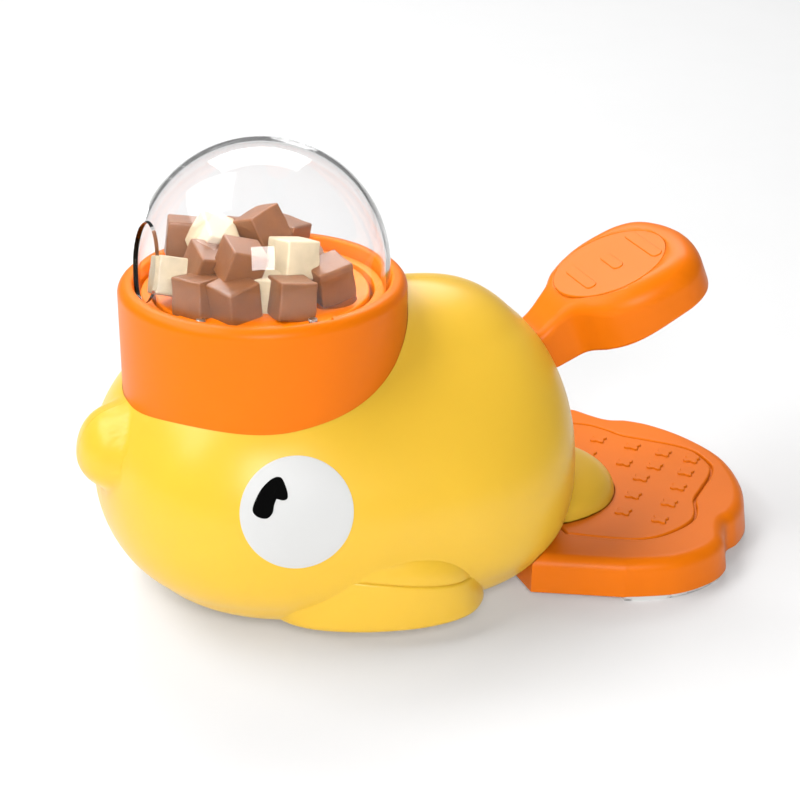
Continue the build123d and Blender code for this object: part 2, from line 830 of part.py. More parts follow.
with BuildPart() as spindle_clip:
    with BuildSketch(Plane.XY.offset(gear_bottom_z - seat_gap - clip_thickness)):
        with Locations((collar_x, 0)):
            Circle(clip_radius)
            Circle(spindle_radius + screw_fit, mode=Mode.SUBTRACT)
            Rectangle(clip_radius, clip_gap_width, align=(Align.MIN, Align.CENTER), mode=Mode.SUBTRACT)
    extrude(amount=clip_thickness)
keep(spindle_clip, "spindle_clip")

with BuildPart() as drive_rack:
    fork_end_x = crank_pin_x + fork_length / 2
    rack_front_x = collar_x - rack_lead
    with BuildSketch(Plane.XY.offset(gear_bottom_z)):
        lean = math.tan(math.radians(gear_pressure_angle))
        tip_y = gear_pitch_radius - gear_module * rack_addendum_share
        half_tip = (gear_pitch / 2 - gear_backlash) / 2 - (gear_pitch_radius - tip_y) * lean
        half_root = half_tip + (rack_root_y - tip_y) * lean
        outline = [(rack_front_x, rack_root_y)]
        for tooth in range(-rack_teeth_front, rack_teeth_rear + 1):
            tooth_x = collar_x + tooth * gear_pitch
            outline.append((tooth_x - half_root, rack_root_y))
            outline.append((tooth_x - half_tip, tip_y))
            outline.append((tooth_x + half_tip, tip_y))
            outline.append((tooth_x + half_root, rack_root_y))
        outline.append((fork_end_x, rack_root_y))
        outline.append((fork_end_x, rack_back_y))
        outline.append((rack_front_x, rack_back_y))
        with BuildLine():
            Polyline(*outline, close=True)
        make_face()
    extrude(amount=gear_width)
    with Locations((crank_pin_x, rack_root_y, gear_bottom_z)):
        Box(
            2 * (crank_pin_radius + fork_fit),
            2 * rack_thickness,
            gear_width - fork_roof,
            align=up_from_base,
            mode=Mode.SUBTRACT,
        )
    with Locations((crank_pin_x, rack_back_y, gear_bottom_z)):
        Box(
            2 * (crank_pin_radius + fork_fit),
            2 * rack_thickness,
            gear_width - fork_roof,
            align=up_from_base,
            mode=Mode.SUBTRACT,
        )
keep(drive_rack, "drive_rack")

with BuildPart() as rack_guide:
    guide_section_plane = Plane((guide_front_x, 0, 0), x_dir=(0, 1, 0), z_dir=(1, 0, 0))
    guide_lip_y = rack_root_y + moving_gap
    with BuildSketch(guide_section_plane):
        with BuildLine():
            Polyline(
                (guide_lip_y, guide_bottom_z),
                (guide_outer_y, guide_bottom_z),
                (guide_outer_y, floor_bottom_z - guide_foot_thickness),
                (guide_outer_y + guide_foot_width, floor_bottom_z - guide_foot_thickness),
                (guide_outer_y + guide_foot_width, floor_bottom_z),
                (guide_inner_y, floor_bottom_z),
                (guide_inner_y, guide_lip_top_z),
                (guide_lip_y, guide_lip_top_z),
                close=True,
            )
        make_face()
    extrude(amount=guide_length)
    for spot_x, spot_y in guide_screw_spots:
        foot = rising(spot_x, spot_y, floor_bottom_z - guide_foot_thickness)
        bore(foot, shank_bore, guide_foot_thickness)
keep(rack_guide, "rack_guide")

with BuildPart() as guide_screws:
    for spot_x, spot_y in guide_screw_spots:
        drive_screw(
            rising(spot_x, spot_y, floor_bottom_z - guide_foot_thickness),
            guide_screw_length, screw_shank_radius, screw_head_radius, screw_head_height,
        )
keep(guide_screws, "guide_screws")

chute_roof_y = chute_end.Y + (chute_roof_x - chute_end.X) * chute_run.Y / chute_run.X
chute_half_width = chute_inner_width / 2 + chute_wall
chute_top_z = floor_bottom_z - seat_gap

with BuildPart() as drop_chute:
    with BuildSketch(chute_plane):
        Rectangle(2 * chute_half_width, chute_wall_height + chute_wall, align=(Align.CENTER, Align.MIN))
        with Locations((0, chute_wall)):
            Rectangle(chute_inner_width, overrun, align=(Align.CENTER, Align.MIN), mode=Mode.SUBTRACT)
    extrude(amount=chute_length)
    with Locations(Location((mouth_x, mouth_y, chute_mouth_z), (0, 0, chute_turn))):
        with Locations((-chute_back, 0)):
            Box(
                2 * overrun,
                2 * overrun,
                2 * overrun,
                align=(Align.MAX, Align.CENTER, Align.CENTER),
                mode=Mode.SUBTRACT,
            )
            Box(
                chute_wall,
                2 * chute_half_width,
                overrun,
                align=(Align.MAX, Align.CENTER, Align.MIN),
            )
    with Locations(Location((chute_roof_x, chute_roof_y, chute_roof_z), (0, 0, chute_turn))):
        Box(chute_roof_length, 2 * chute_half_width, chute_roof_thickness, align=up_from_base)
        with Locations((0, chute_half_width - chute_wall / 2), (0, chute_wall / 2 - chute_half_width)):
            Box(chute_roof_length, chute_wall, chute_roof_z - outlet_z, align=down_from_top)
    with Locations((outlet_x, 0, 0)):
        Box(
            2 * overrun,
            2 * overrun,
            2 * body_waist_z,
            align=(Align.MIN, Align.CENTER, Align.MIN),
            mode=Mode.SUBTRACT,
        )
    with Locations((collar_x, 0, chute_top_z)):
        Cylinder(collar_radius, overrun, align=up_from_base, mode=Mode.SUBTRACT)
keep(drop_chute, "drop_chute")

pivot_reach = Vector(pivot_x, 0, pivot_z) - Vector(*paddle_anchor)
neck_start = pivot_reach.dot(paddle_plane.x_dir)
neck_over_spring_z = paddle_anchor[2] + (spring_x - paddle_anchor[0]) * math.tan(slope)
neck_under_z = neck_over_spring_z - neck_thickness / math.cos(slope)

# Bar of the lever between its hub and its pad
with BuildPart() as lever_neck:
    with BuildSketch(paddle_plane):
        with Locations((neck_start, 0)):
            Rectangle(neck_reach - neck_start, 2 * neck_half_width, align=(Align.MIN, Align.CENTER))
    extrude(amount=-neck_thickness)
    fillet(edges().filter_by(Axis((0, 0, 0), paddle_plane.x_dir)), radius=neck_rounding)

with BuildPart() as paddle_lever:
    with BuildSketch(paddle_plane):
        with BuildLine():
            half = [(0, neck_half_width)]
            half += [(x * paddle_length, y * paddle_half_width) for x, y in paddle_outline_shares]
            Spline(*half, (paddle_length, 0), *other_half(half))
            Line(half[0], other_half(half)[-1])
        make_face()
    extrude(amount=-paddle_thickness)
    height = Axis(paddle_anchor, paddle_plane.z_dir)
    fillet(faces().sort_by(height)[-1].edges().sort_by(Axis.X)[-1], radius=paddle_top_rounding)
    fillet(faces().sort_by(height)[0].edges().sort_by(Axis.X)[-1], radius=paddle_bottom_rounding)
    add(lever_neck.part)
    with Locations(across(pivot_x, 0, pivot_z)):
        Cylinder(hub_radius, 2 * neck_half_width)
    with BuildSketch(side_plane.offset(-crank_offset)):
        with Locations((pivot_x, pivot_z)):
            Circle(hub_radius)
        with Locations((crank_pin_x, crank_pin_z)):
            Circle(crank_half_width)
        make_hull()
    extrude(amount=crank_thickness / 2, both=True)
    with Locations((spring_x, 0, spring_pad_z)):
        Cylinder(spring_pad_radius, neck_under_z + spring_pad_radius - spring_pad_z, align=up_from_base)
    with Locations(across(pivot_x, 0, pivot_z)):
        Cylinder(hub_bush_radius + screw_fit, 2 * neck_half_width, mode=Mode.SUBTRACT)
    with Locations(across(crank_pin_x, 0, crank_pin_z)):
        Cylinder(crank_pin_radius + screw_fit, 2 * neck_half_width, mode=Mode.SUBTRACT)
    with BuildSketch(paddle_plane):
        with Locations((paddle_panel_center, 0)):
            Ellipse(paddle_panel_length / 2, paddle_panel_half_width)
    extrude(amount=-paddle_panel_depth, mode=Mode.SUBTRACT)
keep(paddle_lever, "paddle_lever")

with BuildPart() as paddle_inlay:
    with BuildSketch(paddle_plane.offset(seat_gap - paddle_panel_depth)):
        with Locations((paddle_panel_center, 0)):
            Ellipse(paddle_panel_length / 2 - paddle_panel_gap, paddle_panel_half_width - paddle_panel_gap)
    extrude(amount=paddle_panel_depth - seat_gap)
    for bar_place, bar_length in bar_places:
        with BuildSketch(paddle_plane.offset(-seat_gap)):
            with Locations((bar_place, 0)):
                SlotOverall(bar_length, bar_width, rotation=90)
        extrude(amount=bar_height + seat_gap)
keep(paddle_inlay, "paddle_inlay")

with BuildPart() as pivot_pin:
    with Locations(across(pivot_x, 0, pivot_z)):
        Cylinder(pivot_radius, 2 * (neck_half_width + pivot_boss_depth))
keep(pivot_pin, "pivot_pin")

with BuildPart() as pivot_bushes:
    bush_middle = neck_half_width - hub_bush_length / 2
    with Locations(across(pivot_x, -bush_middle, pivot_z), across(pivot_x, bush_middle, pivot_z)):
        Cylinder(hub_bush_radius, hub_bush_length)
        Cylinder(pivot_radius + running_fit, hub_bush_length, mode=Mode.SUBTRACT)
keep(pivot_bushes, "pivot_bushes")

with BuildPart() as crank_pin:
    pin_start_y = crank_offset - crank_thickness / 2
    with Locations(across(crank_pin_x, pin_start_y, crank_pin_z)):
        Cylinder(crank_pin_radius, rack_back_y - pin_start_y, align=up_from_base)
keep(crank_pin, "crank_pin")

with BuildPart() as return_spring:
    spring_low_z = chute_roof_z + chute_roof_thickness + spring_wire / 2
    spring_high_z = spring_pad_z - spring_wire / 2 - seat_gap
    quarter_rise = (spring_high_z - spring_low_z) / (4 * spring_turns)
    coil = []
    for quarter in range(4 * spring_turns + 1):
        turn = math.radians(90 * quarter)
        coil.append((
            spring_x + spring_radius * math.cos(turn),
            spring_radius * math.sin(turn),
            spring_low_z + quarter * quarter_rise,
        ))
    with BuildLine() as wire_line:
        for half_turn in range(2 * spring_turns):
            ThreePointArc(*coil[2 * half_turn : 2 * half_turn + 3])
    with BuildSketch(Plane(wire_line.line @ 0, z_dir=wire_line.line % 0)):
        Circle(spring_wire / 2)
    sweep()
keep(return_spring, "return_spring")


def tray_face(z, inset):
    """Webbed outline of the tray at a height, drawn in by an inset."""
    shares = (tray_heel_share, tray_flank_share, *tray_lobe_shares)
    length = tray_length - inset
    half_width = tray_half_width - inset
    half = [(tray_heel_x + x * length, y * half_width) for x, y in shares]
    rest = other_half(half)
    with BuildSketch(Plane.XY.offset(z)) as face:
        with BuildLine():
            Line(half[0], half[1])
            Spline(*half[1:], (tray_heel_x + length, 0), *rest[:-1])
            Line(rest[-2], rest[-1])
            Line(rest[-1], half[0])
        make_face()
    return face.sketch


def panel_face(z, inset):
    """Outline of the tray's sunk panel, clear of the tail ramp, drawn in by an inset."""
    start_x = tray_heel_x + tray_panel_flank_share[0] * tray_length
    toe_x = tray_heel_x + tray_panel_toe_share * tray_length
    stretch = (toe_x - start_x - 2 * inset) / (toe_x - start_x)
    half = []
    for x, y in (tray_panel_flank_share, *tray_panel_shares):
        along = tray_heel_x + x * tray_length - start_x
        half.append((start_x + inset + along * stretch, y * (tray_half_width - inset)))
    rest = other_half(half)
    with BuildSketch(Plane.XY.offset(z)) as face:
        with BuildLine():
            Spline(*half, (toe_x - inset, 0), *rest)
            Line(rest[-1], half[0])
        make_face()
        with Locations((ramp_x, 0)):
            Ellipse(
                ramp_length + ramp_margin + inset,
                ramp_half_width + ramp_margin + inset,
                mode=Mode.SUBTRACT,
            )
    return face.sketch


panel_floor_z = tray_top_z - tray_panel_depth
tray_height = tray_top_z - tray_bottom_z
tongue_top_z = body_base_z - seat_gap
tongue_seat_z = tongue_bottom_z + tongue_screw_head_height
ramp_screw_seat_z = tray_bottom_z + screw_head_height

with BuildPart() as tray_base:
    levels = [tray_face(tray_bottom_z, 0)]
    for step in range(rounding_steps + 1):
        turn = math.radians(90 * step / rounding_steps)
        drop = tray_top_rounding * (1 - math.sin(turn))
        levels.append(tray_face(tray_top_z - drop, tray_draft + tray_top_rounding * (1 - math.cos(turn))))
    loft(levels, ruled=True)
    extrude(panel_face(panel_floor_z, 0), amount=tray_height, mode=Mode.SUBTRACT)
    add(body_clear, mode=Mode.SUBTRACT)
    with Locations((tray_heel_x - tongue_length, 0, tongue_bottom_z)):
        Box(
            2 * tongue_length,
            2 * tongue_half_width,
            tongue_top_z - tongue_bottom_z,
            align=(Align.MIN, Align.CENTER, Align.MIN),
        )
    for spot_x, spot_y in tongue_screw_places:
        bore(rising(spot_x, spot_y, tongue_bottom_z), head_bore, tongue_screw_head_height)
        bore(rising(spot_x, spot_y, tongue_bottom_z), shank_bore, tray_height)
    for spot_x, spot_y in ramp_screw_places:
        bore(rising(spot_x, spot_y, tray_bottom_z), head_bore, screw_head_height)
        bore(rising(spot_x, spot_y, tray_bottom_z), shank_bore, tray_height)
keep(tray_base, "tray_base")

with BuildPart() as tray_inlay:
    extrude(panel_face(panel_floor_z + seat_gap, tray_panel_gap), amount=tray_panel_depth - seat_gap)
    with BuildSketch(Plane.XY.offset(tray_top_z - seat_gap)):
        for row_share, columns in print_rows:
            row_x = tray_heel_x + row_share * tray_length
            with Locations(*[(row_x, column * tray_half_width) for column in columns]):
                for toe_turn in (-print_toe_spread, 0, print_toe_spread):
                    with Locations(Location((0, 0, 0), (0, 0, toe_turn))):
                        with Locations((print_toe_length / 2, 0)):
                            SlotOverall(print_toe_length, print_toe_width)
    extrude(amount=print_height + seat_gap)
keep(tray_inlay, "tray_inlay")

with BuildPart() as tray_pads:
    with BuildSketch():
        for start_share, end_share, low_share, high_share in pad_spans:
            with Locations((tray_heel_x + start_share * tray_length, low_share * tray_half_width)):
                Rectangle(
                    (end_share - start_share) * tray_length,
                    (high_share - low_share) * tray_half_width,
                    align=(Align.MIN, Align.MIN),
                )
        add(tray_face(0, pad_inset), mode=Mode.INTERSECT)
    extrude(amount=tray_bottom_z)
keep(tray_pads, "tray_pads")

with BuildPart() as tray_screws:
    for spot_x, spot_y in tongue_screw_places:
        drive_screw(
            rising(spot_x, spot_y, tongue_seat_z),
            tongue_screw_length, screw_shank_radius, screw_head_radius, tongue_screw_head_height,
        )
keep(tray_screws, "tray_screws")

with BuildPart() as tail_ramp:
    with Locations((ramp_x, 0, tray_top_z)):
        add(egg(ramp_length, ramp_half_width, ramp_height))
    split(bisect_by=Plane.XY.offset(tray_top_z), keep=Keep.TOP)
    add(body_clear, mode=Mode.SUBTRACT)
    for spot_x, spot_y in ramp_screw_places:
        bore(rising(spot_x, spot_y, tray_top_z), shank_bore, ramp_screw_grip)
keep(tail_ramp, "tail_ramp")

with BuildPart() as ramp_screws:
    ramp_screw_length = tray_top_z + ramp_screw_grip - seat_gap - ramp_screw_seat_z
    for spot_x, spot_y in ramp_screw_places:
        drive_screw(
            rising(spot_x, spot_y, ramp_screw_seat_z),
            ramp_screw_length, screw_shank_radius, screw_head_radius, screw_head_height,
        )
keep(ramp_screws, "ramp_screws")

wing_lean = math.radians(wing_tilt)
wing_plane = Plane(
    (wing_x, 0, wing_groove_z),
    x_dir=(math.cos(wing_lean), 0, -math.sin(wing_lean)),
    z_dir=(math.sin(wing_lean), 0, math.cos(wing_lean)),
)
wing_base_plane = Plane((wing_x, 0, wing_bottom_z))


def wing_face(plane, inset):
    """Flipper outline on a plane, drawn in by an inset."""
    points = [(x * (wing_length - 2 * inset), inset - y * wing_reach) for x, y in wing_outline_shares]
    with BuildSketch(plane) as face:
        with BuildLine():
            Spline(*points)
            Line(points[-1], points[0])
        make_face()
    return face.sketch


with BuildPart() as wing_left:
    loft([
        wing_face(wing_base_plane, wing_base_inset),
        wing_face(wing_plane.offset(-wing_groove_width / 2), 0),
    ])
    loft([
        wing_face(wing_plane.offset(wing_groove_width / 2), 0),
        wing_face(wing_plane.offset(wing_panel_rise), wing_panel_inset),
    ])
    extrude(wing_face(wing_plane, wing_groove_depth), amount=wing_groove_width, both=True)
    add(body_clear, mode=Mode.SUBTRACT)
    for screw_x, screw_z in wing_screw_places:
        seat = side_plane.offset(wing_screw_seat_y).shift_origin((screw_x, -wing_screw_seat_y, screw_z))
        bore(seat, shank_bore, wing_screw_length)
keep(wing_left, "wing_left")

with BuildPart() as wing_right:
    mirror(wing_left.part, about=Plane.XZ)
keep(wing_right, "wing_right")

with BuildPart() as wing_screws:
    for screw_x, screw_z in wing_screw_places:
        seat = side_plane.offset(wing_screw_seat_y).shift_origin((screw_x, -wing_screw_seat_y, screw_z))
        drive_screw(seat, wing_screw_length, screw_shank_radius, screw_head_radius, screw_head_height)
    mirror(about=Plane.XZ)
keep(wing_screws, "wing_screws")

post_y = chute_end.Y + (post_x - chute_end.X) * chute_run.Y / chute_run.X
chute_under = Plane(chute_start, x_dir=chute_side, z_dir=chute_run.cross(chute_side)).offset(-seat_gap)

with BuildPart() as base_plate:
    with Locations((post_x, post_y, body_base_z)):
        Cylinder(post_radius, chute_mouth_z, align=up_from_base)
    split(bisect_by=chute_under, keep=Keep.BOTTOM)
    with BuildSketch(Plane.XY.offset(body_base_z)):
        with BuildLine():
            plan_oval(base_front, base_rear, base_half_width)
        make_face()
    extrude(amount=wall + base_flange_thickness)
    with BuildSketch(Plane.XY.offset(body_base_z + wall)):
        with BuildLine():
            plan_oval(base_front + base_flange, base_rear + base_flange, base_half_width + base_flange)
        make_face()
    extrude(amount=base_flange_thickness)
    for spot_x, spot_y in base_screw_spots:
        bore(rising(spot_x, spot_y, base_screw_seat_z), shank_bore, base_screw_length)
    for spot_x, spot_y in tongue_screw_places:
        bore(rising(spot_x, spot_y, body_base_z), shank_bore, tongue_screw_length)
keep(base_plate, "base_plate")

with BuildPart() as base_screws:
    for spot_x, spot_y in base_screw_spots:
        drive_screw(
            rising(spot_x, spot_y, base_screw_seat_z),
            base_screw_length, screw_shank_radius, screw_head_radius, screw_head_height,
        )
keep(base_screws, "base_screws")

with BuildPart() as base_pads:
    with Locations(*base_pad_places):
        Cylinder(base_pad_radius, body_base_z, align=up_from_base)
keep(base_pads, "base_pads")
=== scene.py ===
"""Duck-shaped treat dispenser: its looks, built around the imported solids."""
import json
import math

import bmesh
import bpy
from mathutils import Matrix, Vector
from mathutils.bvhtree import BVHTree


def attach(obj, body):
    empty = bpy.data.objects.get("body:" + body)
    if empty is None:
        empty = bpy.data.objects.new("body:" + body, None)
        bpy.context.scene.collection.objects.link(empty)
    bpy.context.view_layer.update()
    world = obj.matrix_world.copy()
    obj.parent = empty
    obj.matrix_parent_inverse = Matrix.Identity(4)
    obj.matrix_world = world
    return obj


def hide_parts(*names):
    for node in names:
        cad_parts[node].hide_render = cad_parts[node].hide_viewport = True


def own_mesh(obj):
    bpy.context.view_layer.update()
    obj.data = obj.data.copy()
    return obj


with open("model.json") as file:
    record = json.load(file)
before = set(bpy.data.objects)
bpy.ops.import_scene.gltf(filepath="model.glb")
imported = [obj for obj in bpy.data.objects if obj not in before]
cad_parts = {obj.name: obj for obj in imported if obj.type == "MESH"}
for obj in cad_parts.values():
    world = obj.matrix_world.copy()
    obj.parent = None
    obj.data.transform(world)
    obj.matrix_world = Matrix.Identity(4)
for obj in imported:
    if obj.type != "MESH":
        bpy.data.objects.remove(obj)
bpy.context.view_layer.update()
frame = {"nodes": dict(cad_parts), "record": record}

bl_info = {
    "name": "Duck Treat Dispenser",
    "version": (1, 0, 0),
    "blender": (4, 5, 0),
    "location": "View3D > Sidebar > Duck",
    "description": "Dresses the packed treat dispenser with moulded plastic, a clear dome and treats",
    "category": "Object",
}

# Sizes are in millimetres and angles in degrees, unless a comment says otherwise
MM = 0.001

# Casing: plan, profile, wall, rings of points, easing of the waist, shoulder at the collar and beak
PEAK_X = -22.0
FRONT, REAR, SIDE = 128.8, 84.1, 87.2
WAIST_Z, CROWN, BELLY, BASE_Z = 61.3, 73.3, 63.3, 3.0
FRONT_POWER, REAR_POWER, SIDE_POWER, BELLY_POWER = 2.17, 2.43, 1.5, 3.22
FULLNESS = 0.703
WALL, WALL_LEAN = 2.6, 1.2
BASE_OVAL = (64.15, 36.15, 38.15)
QUARTER, BELLY_RINGS, CROWN_RINGS = 66, 34, 62
EASE_WINDOW, EASE_BASE, EASE_CROWN, EASE_STEPS = 14.0, 2.0, 6.0, 6
SHOULDER, SHOULDER_SPREAD = 4.2, 15.0
SHOULDER_FACING, SHOULDER_REAR = (0.15, 0.95), (-5.0, 45.0)
BEAK_X, BEAK_Z, BEAK_REAR = -142.0, 72.0, -105.0
BEAK_LENGTH, BEAK_WIDE, BEAK_RISE, BEAK_DROP, BEAK_FLARE = 18.0, 22.0, 22.0, 14.5, 60.0

# Openings of the casing: for the outlet and the rack as corners, and room around the collar
OUTLET = ((40.5, -17.2, 34.8), (80.5, 17.2, 70.2))
RACK_ROOM = ((-20.0, 6.1, 105.6), (38.1, 14.6, 114.4))
COLLAR_ROOM, COLLAR_CUT = 0.15, 60.0
# Far corners that hold the whole casing, and how near two points of a cut are one, in metres
FAR, FAR_BELOW = 200.0, -20.0
SLIVER = 2e-6

# Hopper: collar with its lip, dome groove, ledge, skirt, lift notch and the gap for the drive
HOPPER_X = -74.6
COLLAR_RADIUS, COLLAR_BOTTOM, COLLAR_TOP, COLLAR_ROUND = 62.3, 92.0, 144.5, 4.8
LIP_INNER, LIP_ROUND = 55.4, 1.4
GROOVE_Z, GROOVE_WALL = 136.9, 52.4
LEDGE_Z, LEDGE_RADIUS, LEDGE_ROUND = 139.5, 48.0, 0.7
FLOOR_TOP, SKIRT_RADIUS = 121.1, 55.6
NOTCH_TURN, NOTCH_HALF, NOTCH_DEEP, NOTCH_REACH, NOTCH_CUT = -89.0, 11.0, 3.6, 2.6, 8.0
DRIVE_GAP = ((HOPPER_X + 30.0, -36.0, 80.0), (HOPPER_X + 70.0, 36.0, 113.0))

# Dome with its pouring hole
DOME_RADIUS, DOME_WALL, DOME_Z, DOME_FOOT, DOME_BEVEL = 55.0, 2.0, 149.5, 137.05, 0.3
DOME_TURN, DOME_RINGS, DOME_STEPS, DOME_COUNT = 88.8, 56, 6, 160
DOME_HOLE, DOME_HOLE_Z, DOME_HOLE_X, DOME_HOLE_CUT = 16.8, 157.5, HOPPER_X - 20.0, -60.0

# Eyes: place and direction, the pupil in shares of the eye's radius, and the edge of a laid-on patch
EYE_CENTER, EYE_NORMAL, EYE_RADIUS = (-87.0, -77.8, 70.0), (-0.23, -0.89, 0.39), 23.5
EYE_AWAY = 30.0
PUPIL_RISE = 0.05
PUPIL = (
    (-0.33, 0.6), (-0.25, 0.58), (-0.195, 0.48), (-0.15, 0.3), (-0.165, 0.205), (-0.255, 0.185),
    (-0.325, 0.24), (-0.39, 0.12), (-0.43, -0.03), (-0.53, -0.12), (-0.68, -0.09), (-0.77, 0.015),
    (-0.735, 0.17), (-0.61, 0.39), (-0.45, 0.545),
)
PATCH_EDGE, PATCH_FLAT = ((1.0, -0.6), (1.0, 0.55), (0.996, 0.86), (0.986, 1.0)), 0.98

# Wing: outline in shares of its length and reach, and levels of inset and height from bottom to crown
WING_X, WING_LENGTH, WING_REACH, WING_ROOT = -40.0, 91.0, 89.6, 44.0
WING_BOTTOM, WING_GROOVE, WING_TILT, WING_CROWN = 10.0, 31.5, 9.5, 15.5
WING_FORWARD, WING_LEAN = 1.12, 0.115
WING = (
    (-0.53, 0.6), (-0.46, 0.755), (-0.34, 0.865), (-0.15, 0.955), (0.08, 1.0), (0.3, 0.965),
    (0.435, 0.83), (0.47, 0.67),
)
WING_LEVELS = (
    (14.0, -1.0), (2.6, -1.0), (1.1, -0.985), (0.45, -0.95), (0.15, -0.88), (0.0, -0.75), (0.0, -0.4),
    (0.15, -0.07), (0.5, -0.03), (1.4, -0.02), (1.4, 0.02), (0.5, 0.03), (0.45, 0.12), (0.9, 0.3),
    (1.9, 0.5), (3.4, 0.68), (6.0, 0.84), (10.0, 0.95), (16.0, 1.0),
)

# Paddle in its own plane: along, across and down from its top
PADDLE_ANCHOR, PADDLE_SLOPE = (60.0, 0.0, 115.5), 21.5
PADDLE_LENGTH, PADDLE_WIDTH, PADDLE_DEEP = 73.5, 36.0, 22.0
PADDLE_ROUND, PADDLE_FOOT_ROUND = 10.5, 2.2
PADDLE = (
    (0.065, 0.43), (0.16, 0.66), (0.28, 0.855), (0.42, 0.965), (0.58, 1.0), (0.74, 0.965),
    (0.88, 0.79), (0.965, 0.45),
)
PADDLE_PANEL, PADDLE_PANEL_X, PADDLE_PANEL_DEEP, PADDLE_PANEL_GAP = (27.5, 25.6), 34.0, 1.5, 0.22
PANEL_RISE, PANEL_SOFT = 0.1, 0.5
BARS, BAR_WIDTH, BAR_RISE, BAR_ROOT = ((19.0, 25.0), (35.5, 17.0), (52.5, 31.0)), 5.6, 0.6, -0.2

# Neck of the paddle: where it bends and swells, in the paddle's own plane, and its slot in the casing
NECK_START, NECK_WIDTH, NECK_ROUND = -28.0, 12.5, 5.0
NECK_DROOP, NECK_BELLY, NECK_THIN = 9.0, 5.0, 0.55
NECK_BEND, NECK_SPREAD, BELLY_STARTS, BELLY_ENDS = (-14.0, 10.0), (-4.0, 24.0), (-24.0, 4.0), (6.0, 52.0)
NECK_JOIN = ((-3.0, -NECK_WIDTH - 0.3),)
NECK_CLEAR, NECK_SLOT, NECK_SLOT_HALF = 1.4, 72.0, 13.9
NECK_SLOT_STEPS = (40.0, 12.0, 6.0, 0.0, -6.0, -12.0, -24.0)
HUB_END, HUB_FAR, HUB_SIDE = NECK_START + 2.0, 150.0, 60.0

# Tray: outline and panel in shares of its length and half width, and edges as inset and rise
TRAY_HEEL, TRAY_TIP, TRAY_WIDTH, TRAY_BOTTOM, TRAY_TOP = 26.6, 160.0, 89.0, 2.0, 19.0
TRAY_DRAFT, TRAY_ROUND, TRAY_PANEL_DEEP, TRAY_PANEL_GAP = 1.2, 6.0, 2.0, 1.0
TRAY_HEEL_SHARE = 0.716
TRAY = (
    (0.27, 0.933), (0.443, 1.0), (0.585, 0.967), (0.675, 0.885), (0.72, 0.77), (0.757, 0.69),
    (0.815, 0.645), (0.893, 0.52), (0.965, 0.29),
)
TRAY_PANEL = (
    (0.185, 0.53), (0.35, 0.695), (0.455, 0.735), (0.565, 0.695), (0.645, 0.625), (0.69, 0.53),
    (0.722, 0.43), (0.785, 0.33), (0.86, 0.215), (0.905, 0.11),
)
TRAY_PANEL_TIP = 0.913
TRAY_FOOT = ((0.7, 0.0), (0.2, 0.2), (0.0, 0.7))
TRAY_PIT = ((0.0, -TRAY_PANEL_DEEP), (0.0, -1.0), (-0.13, -0.5), (-0.5, -0.13), (-1.0, 0.0), (-1.0, 5.0))
PLATE_LOW, PLATE_SOFT = 0.1, 1.0
CASING_ROOM, CASING_LEVELS = 0.35, (BASE_Z - 0.2, 5.0, 8.0, 12.0, 16.0, 20.0, 26.0)
PRINTS = (
    (0.44, (-0.42, 0.42)), (0.53, (-0.57, -0.27, 0.27, 0.57)), (0.62, (-0.42, -0.1, 0.1, 0.42)),
    (0.71, (-0.27, 0.0, 0.27)), (0.79, (-0.13, 0.13)), (0.86, (0.0,)),
)
PRINT_REACH, PRINT_LOBES, PRINT_RISE, PRINT_SOFT = 4.5, 0.2, 0.8, 0.4
RAMP_X, RAMP_REACH, RAMP_CLEAR, RAMP_CUT = 55.0, (40.6, 38.6), 1.15, 10.0
TONGUE = ((-7.4, -26.0, 0.8), (60.0, 26.0, 2.7))

# Camera of the photograph: place, aim and focal length in pixels of an 800 pixel frame
CAMERA_PLACE = (-326.9, -807.6, 465.1)
CAMERA_AIM = (-11.3, 0.0, 75.89)
CAMERA_FOCUS, CAMERA_FRAME = 2100.0, 800.0

# Treats: pixel, height of the middle in treat sizes above the disc, kind and turns
TREATS = (
    (231, 306, 0.52, "brown", (4, -8, 22)),
    (288, 299, 0.56, "brown", (-6, 8, 2)),
    (329, 281, 0.56, "brown", (6, -10, 8)),
    (203, 277, 0.87, "brown", (18, 16, 8)),
    (170, 277, 0.74, "cream", (-20, 14, -4)),
    (259, 295, 0.52, "cream", (3, 2, 60)),
    (242, 266, 1.30, "brown", (12, 18, 4)),
    (293, 258, 1.22, "cream", (-8, 12, 14)),
    (188, 243, 1.1, "brown", (-6, 8, -14)),
    (213, 240, 1.45, "cream", (28, 24, 10)),
    (262, 229, 1.62, "brown", (-20, -14, 24)),
    (284, 238, 0.62, "brown", (8, 10, 40)),
    (250, 238, 0.62, "brown", (-8, 12, 10)),
    (304, 268, 0.55, "brown", (3, 5, 80)),
    (226, 262, 0.55, "brown", (2, 6, 8)),
    (262, 250, 0.60, "cream", (6, -2, 33)),
    (196, 258, 0.56, "brown", (-4, 5, 66)),
    (194, 300, 0.52, "brown", (-4, 5, 30)),
)
DISC_TOP, TREAT_CLEAR = 139.2, 0.3
HEAP_RADIUS, HEAP_ROUNDS = 52.5, 60
# Shares of a treat's edge: its reach when turned, the rounding of its edges and the depth of its dents
TREAT_REACH, TREAT_ROUND, TREAT_DENT, TREAT_LONG = 0.72, 0.07, 0.02, 0.4

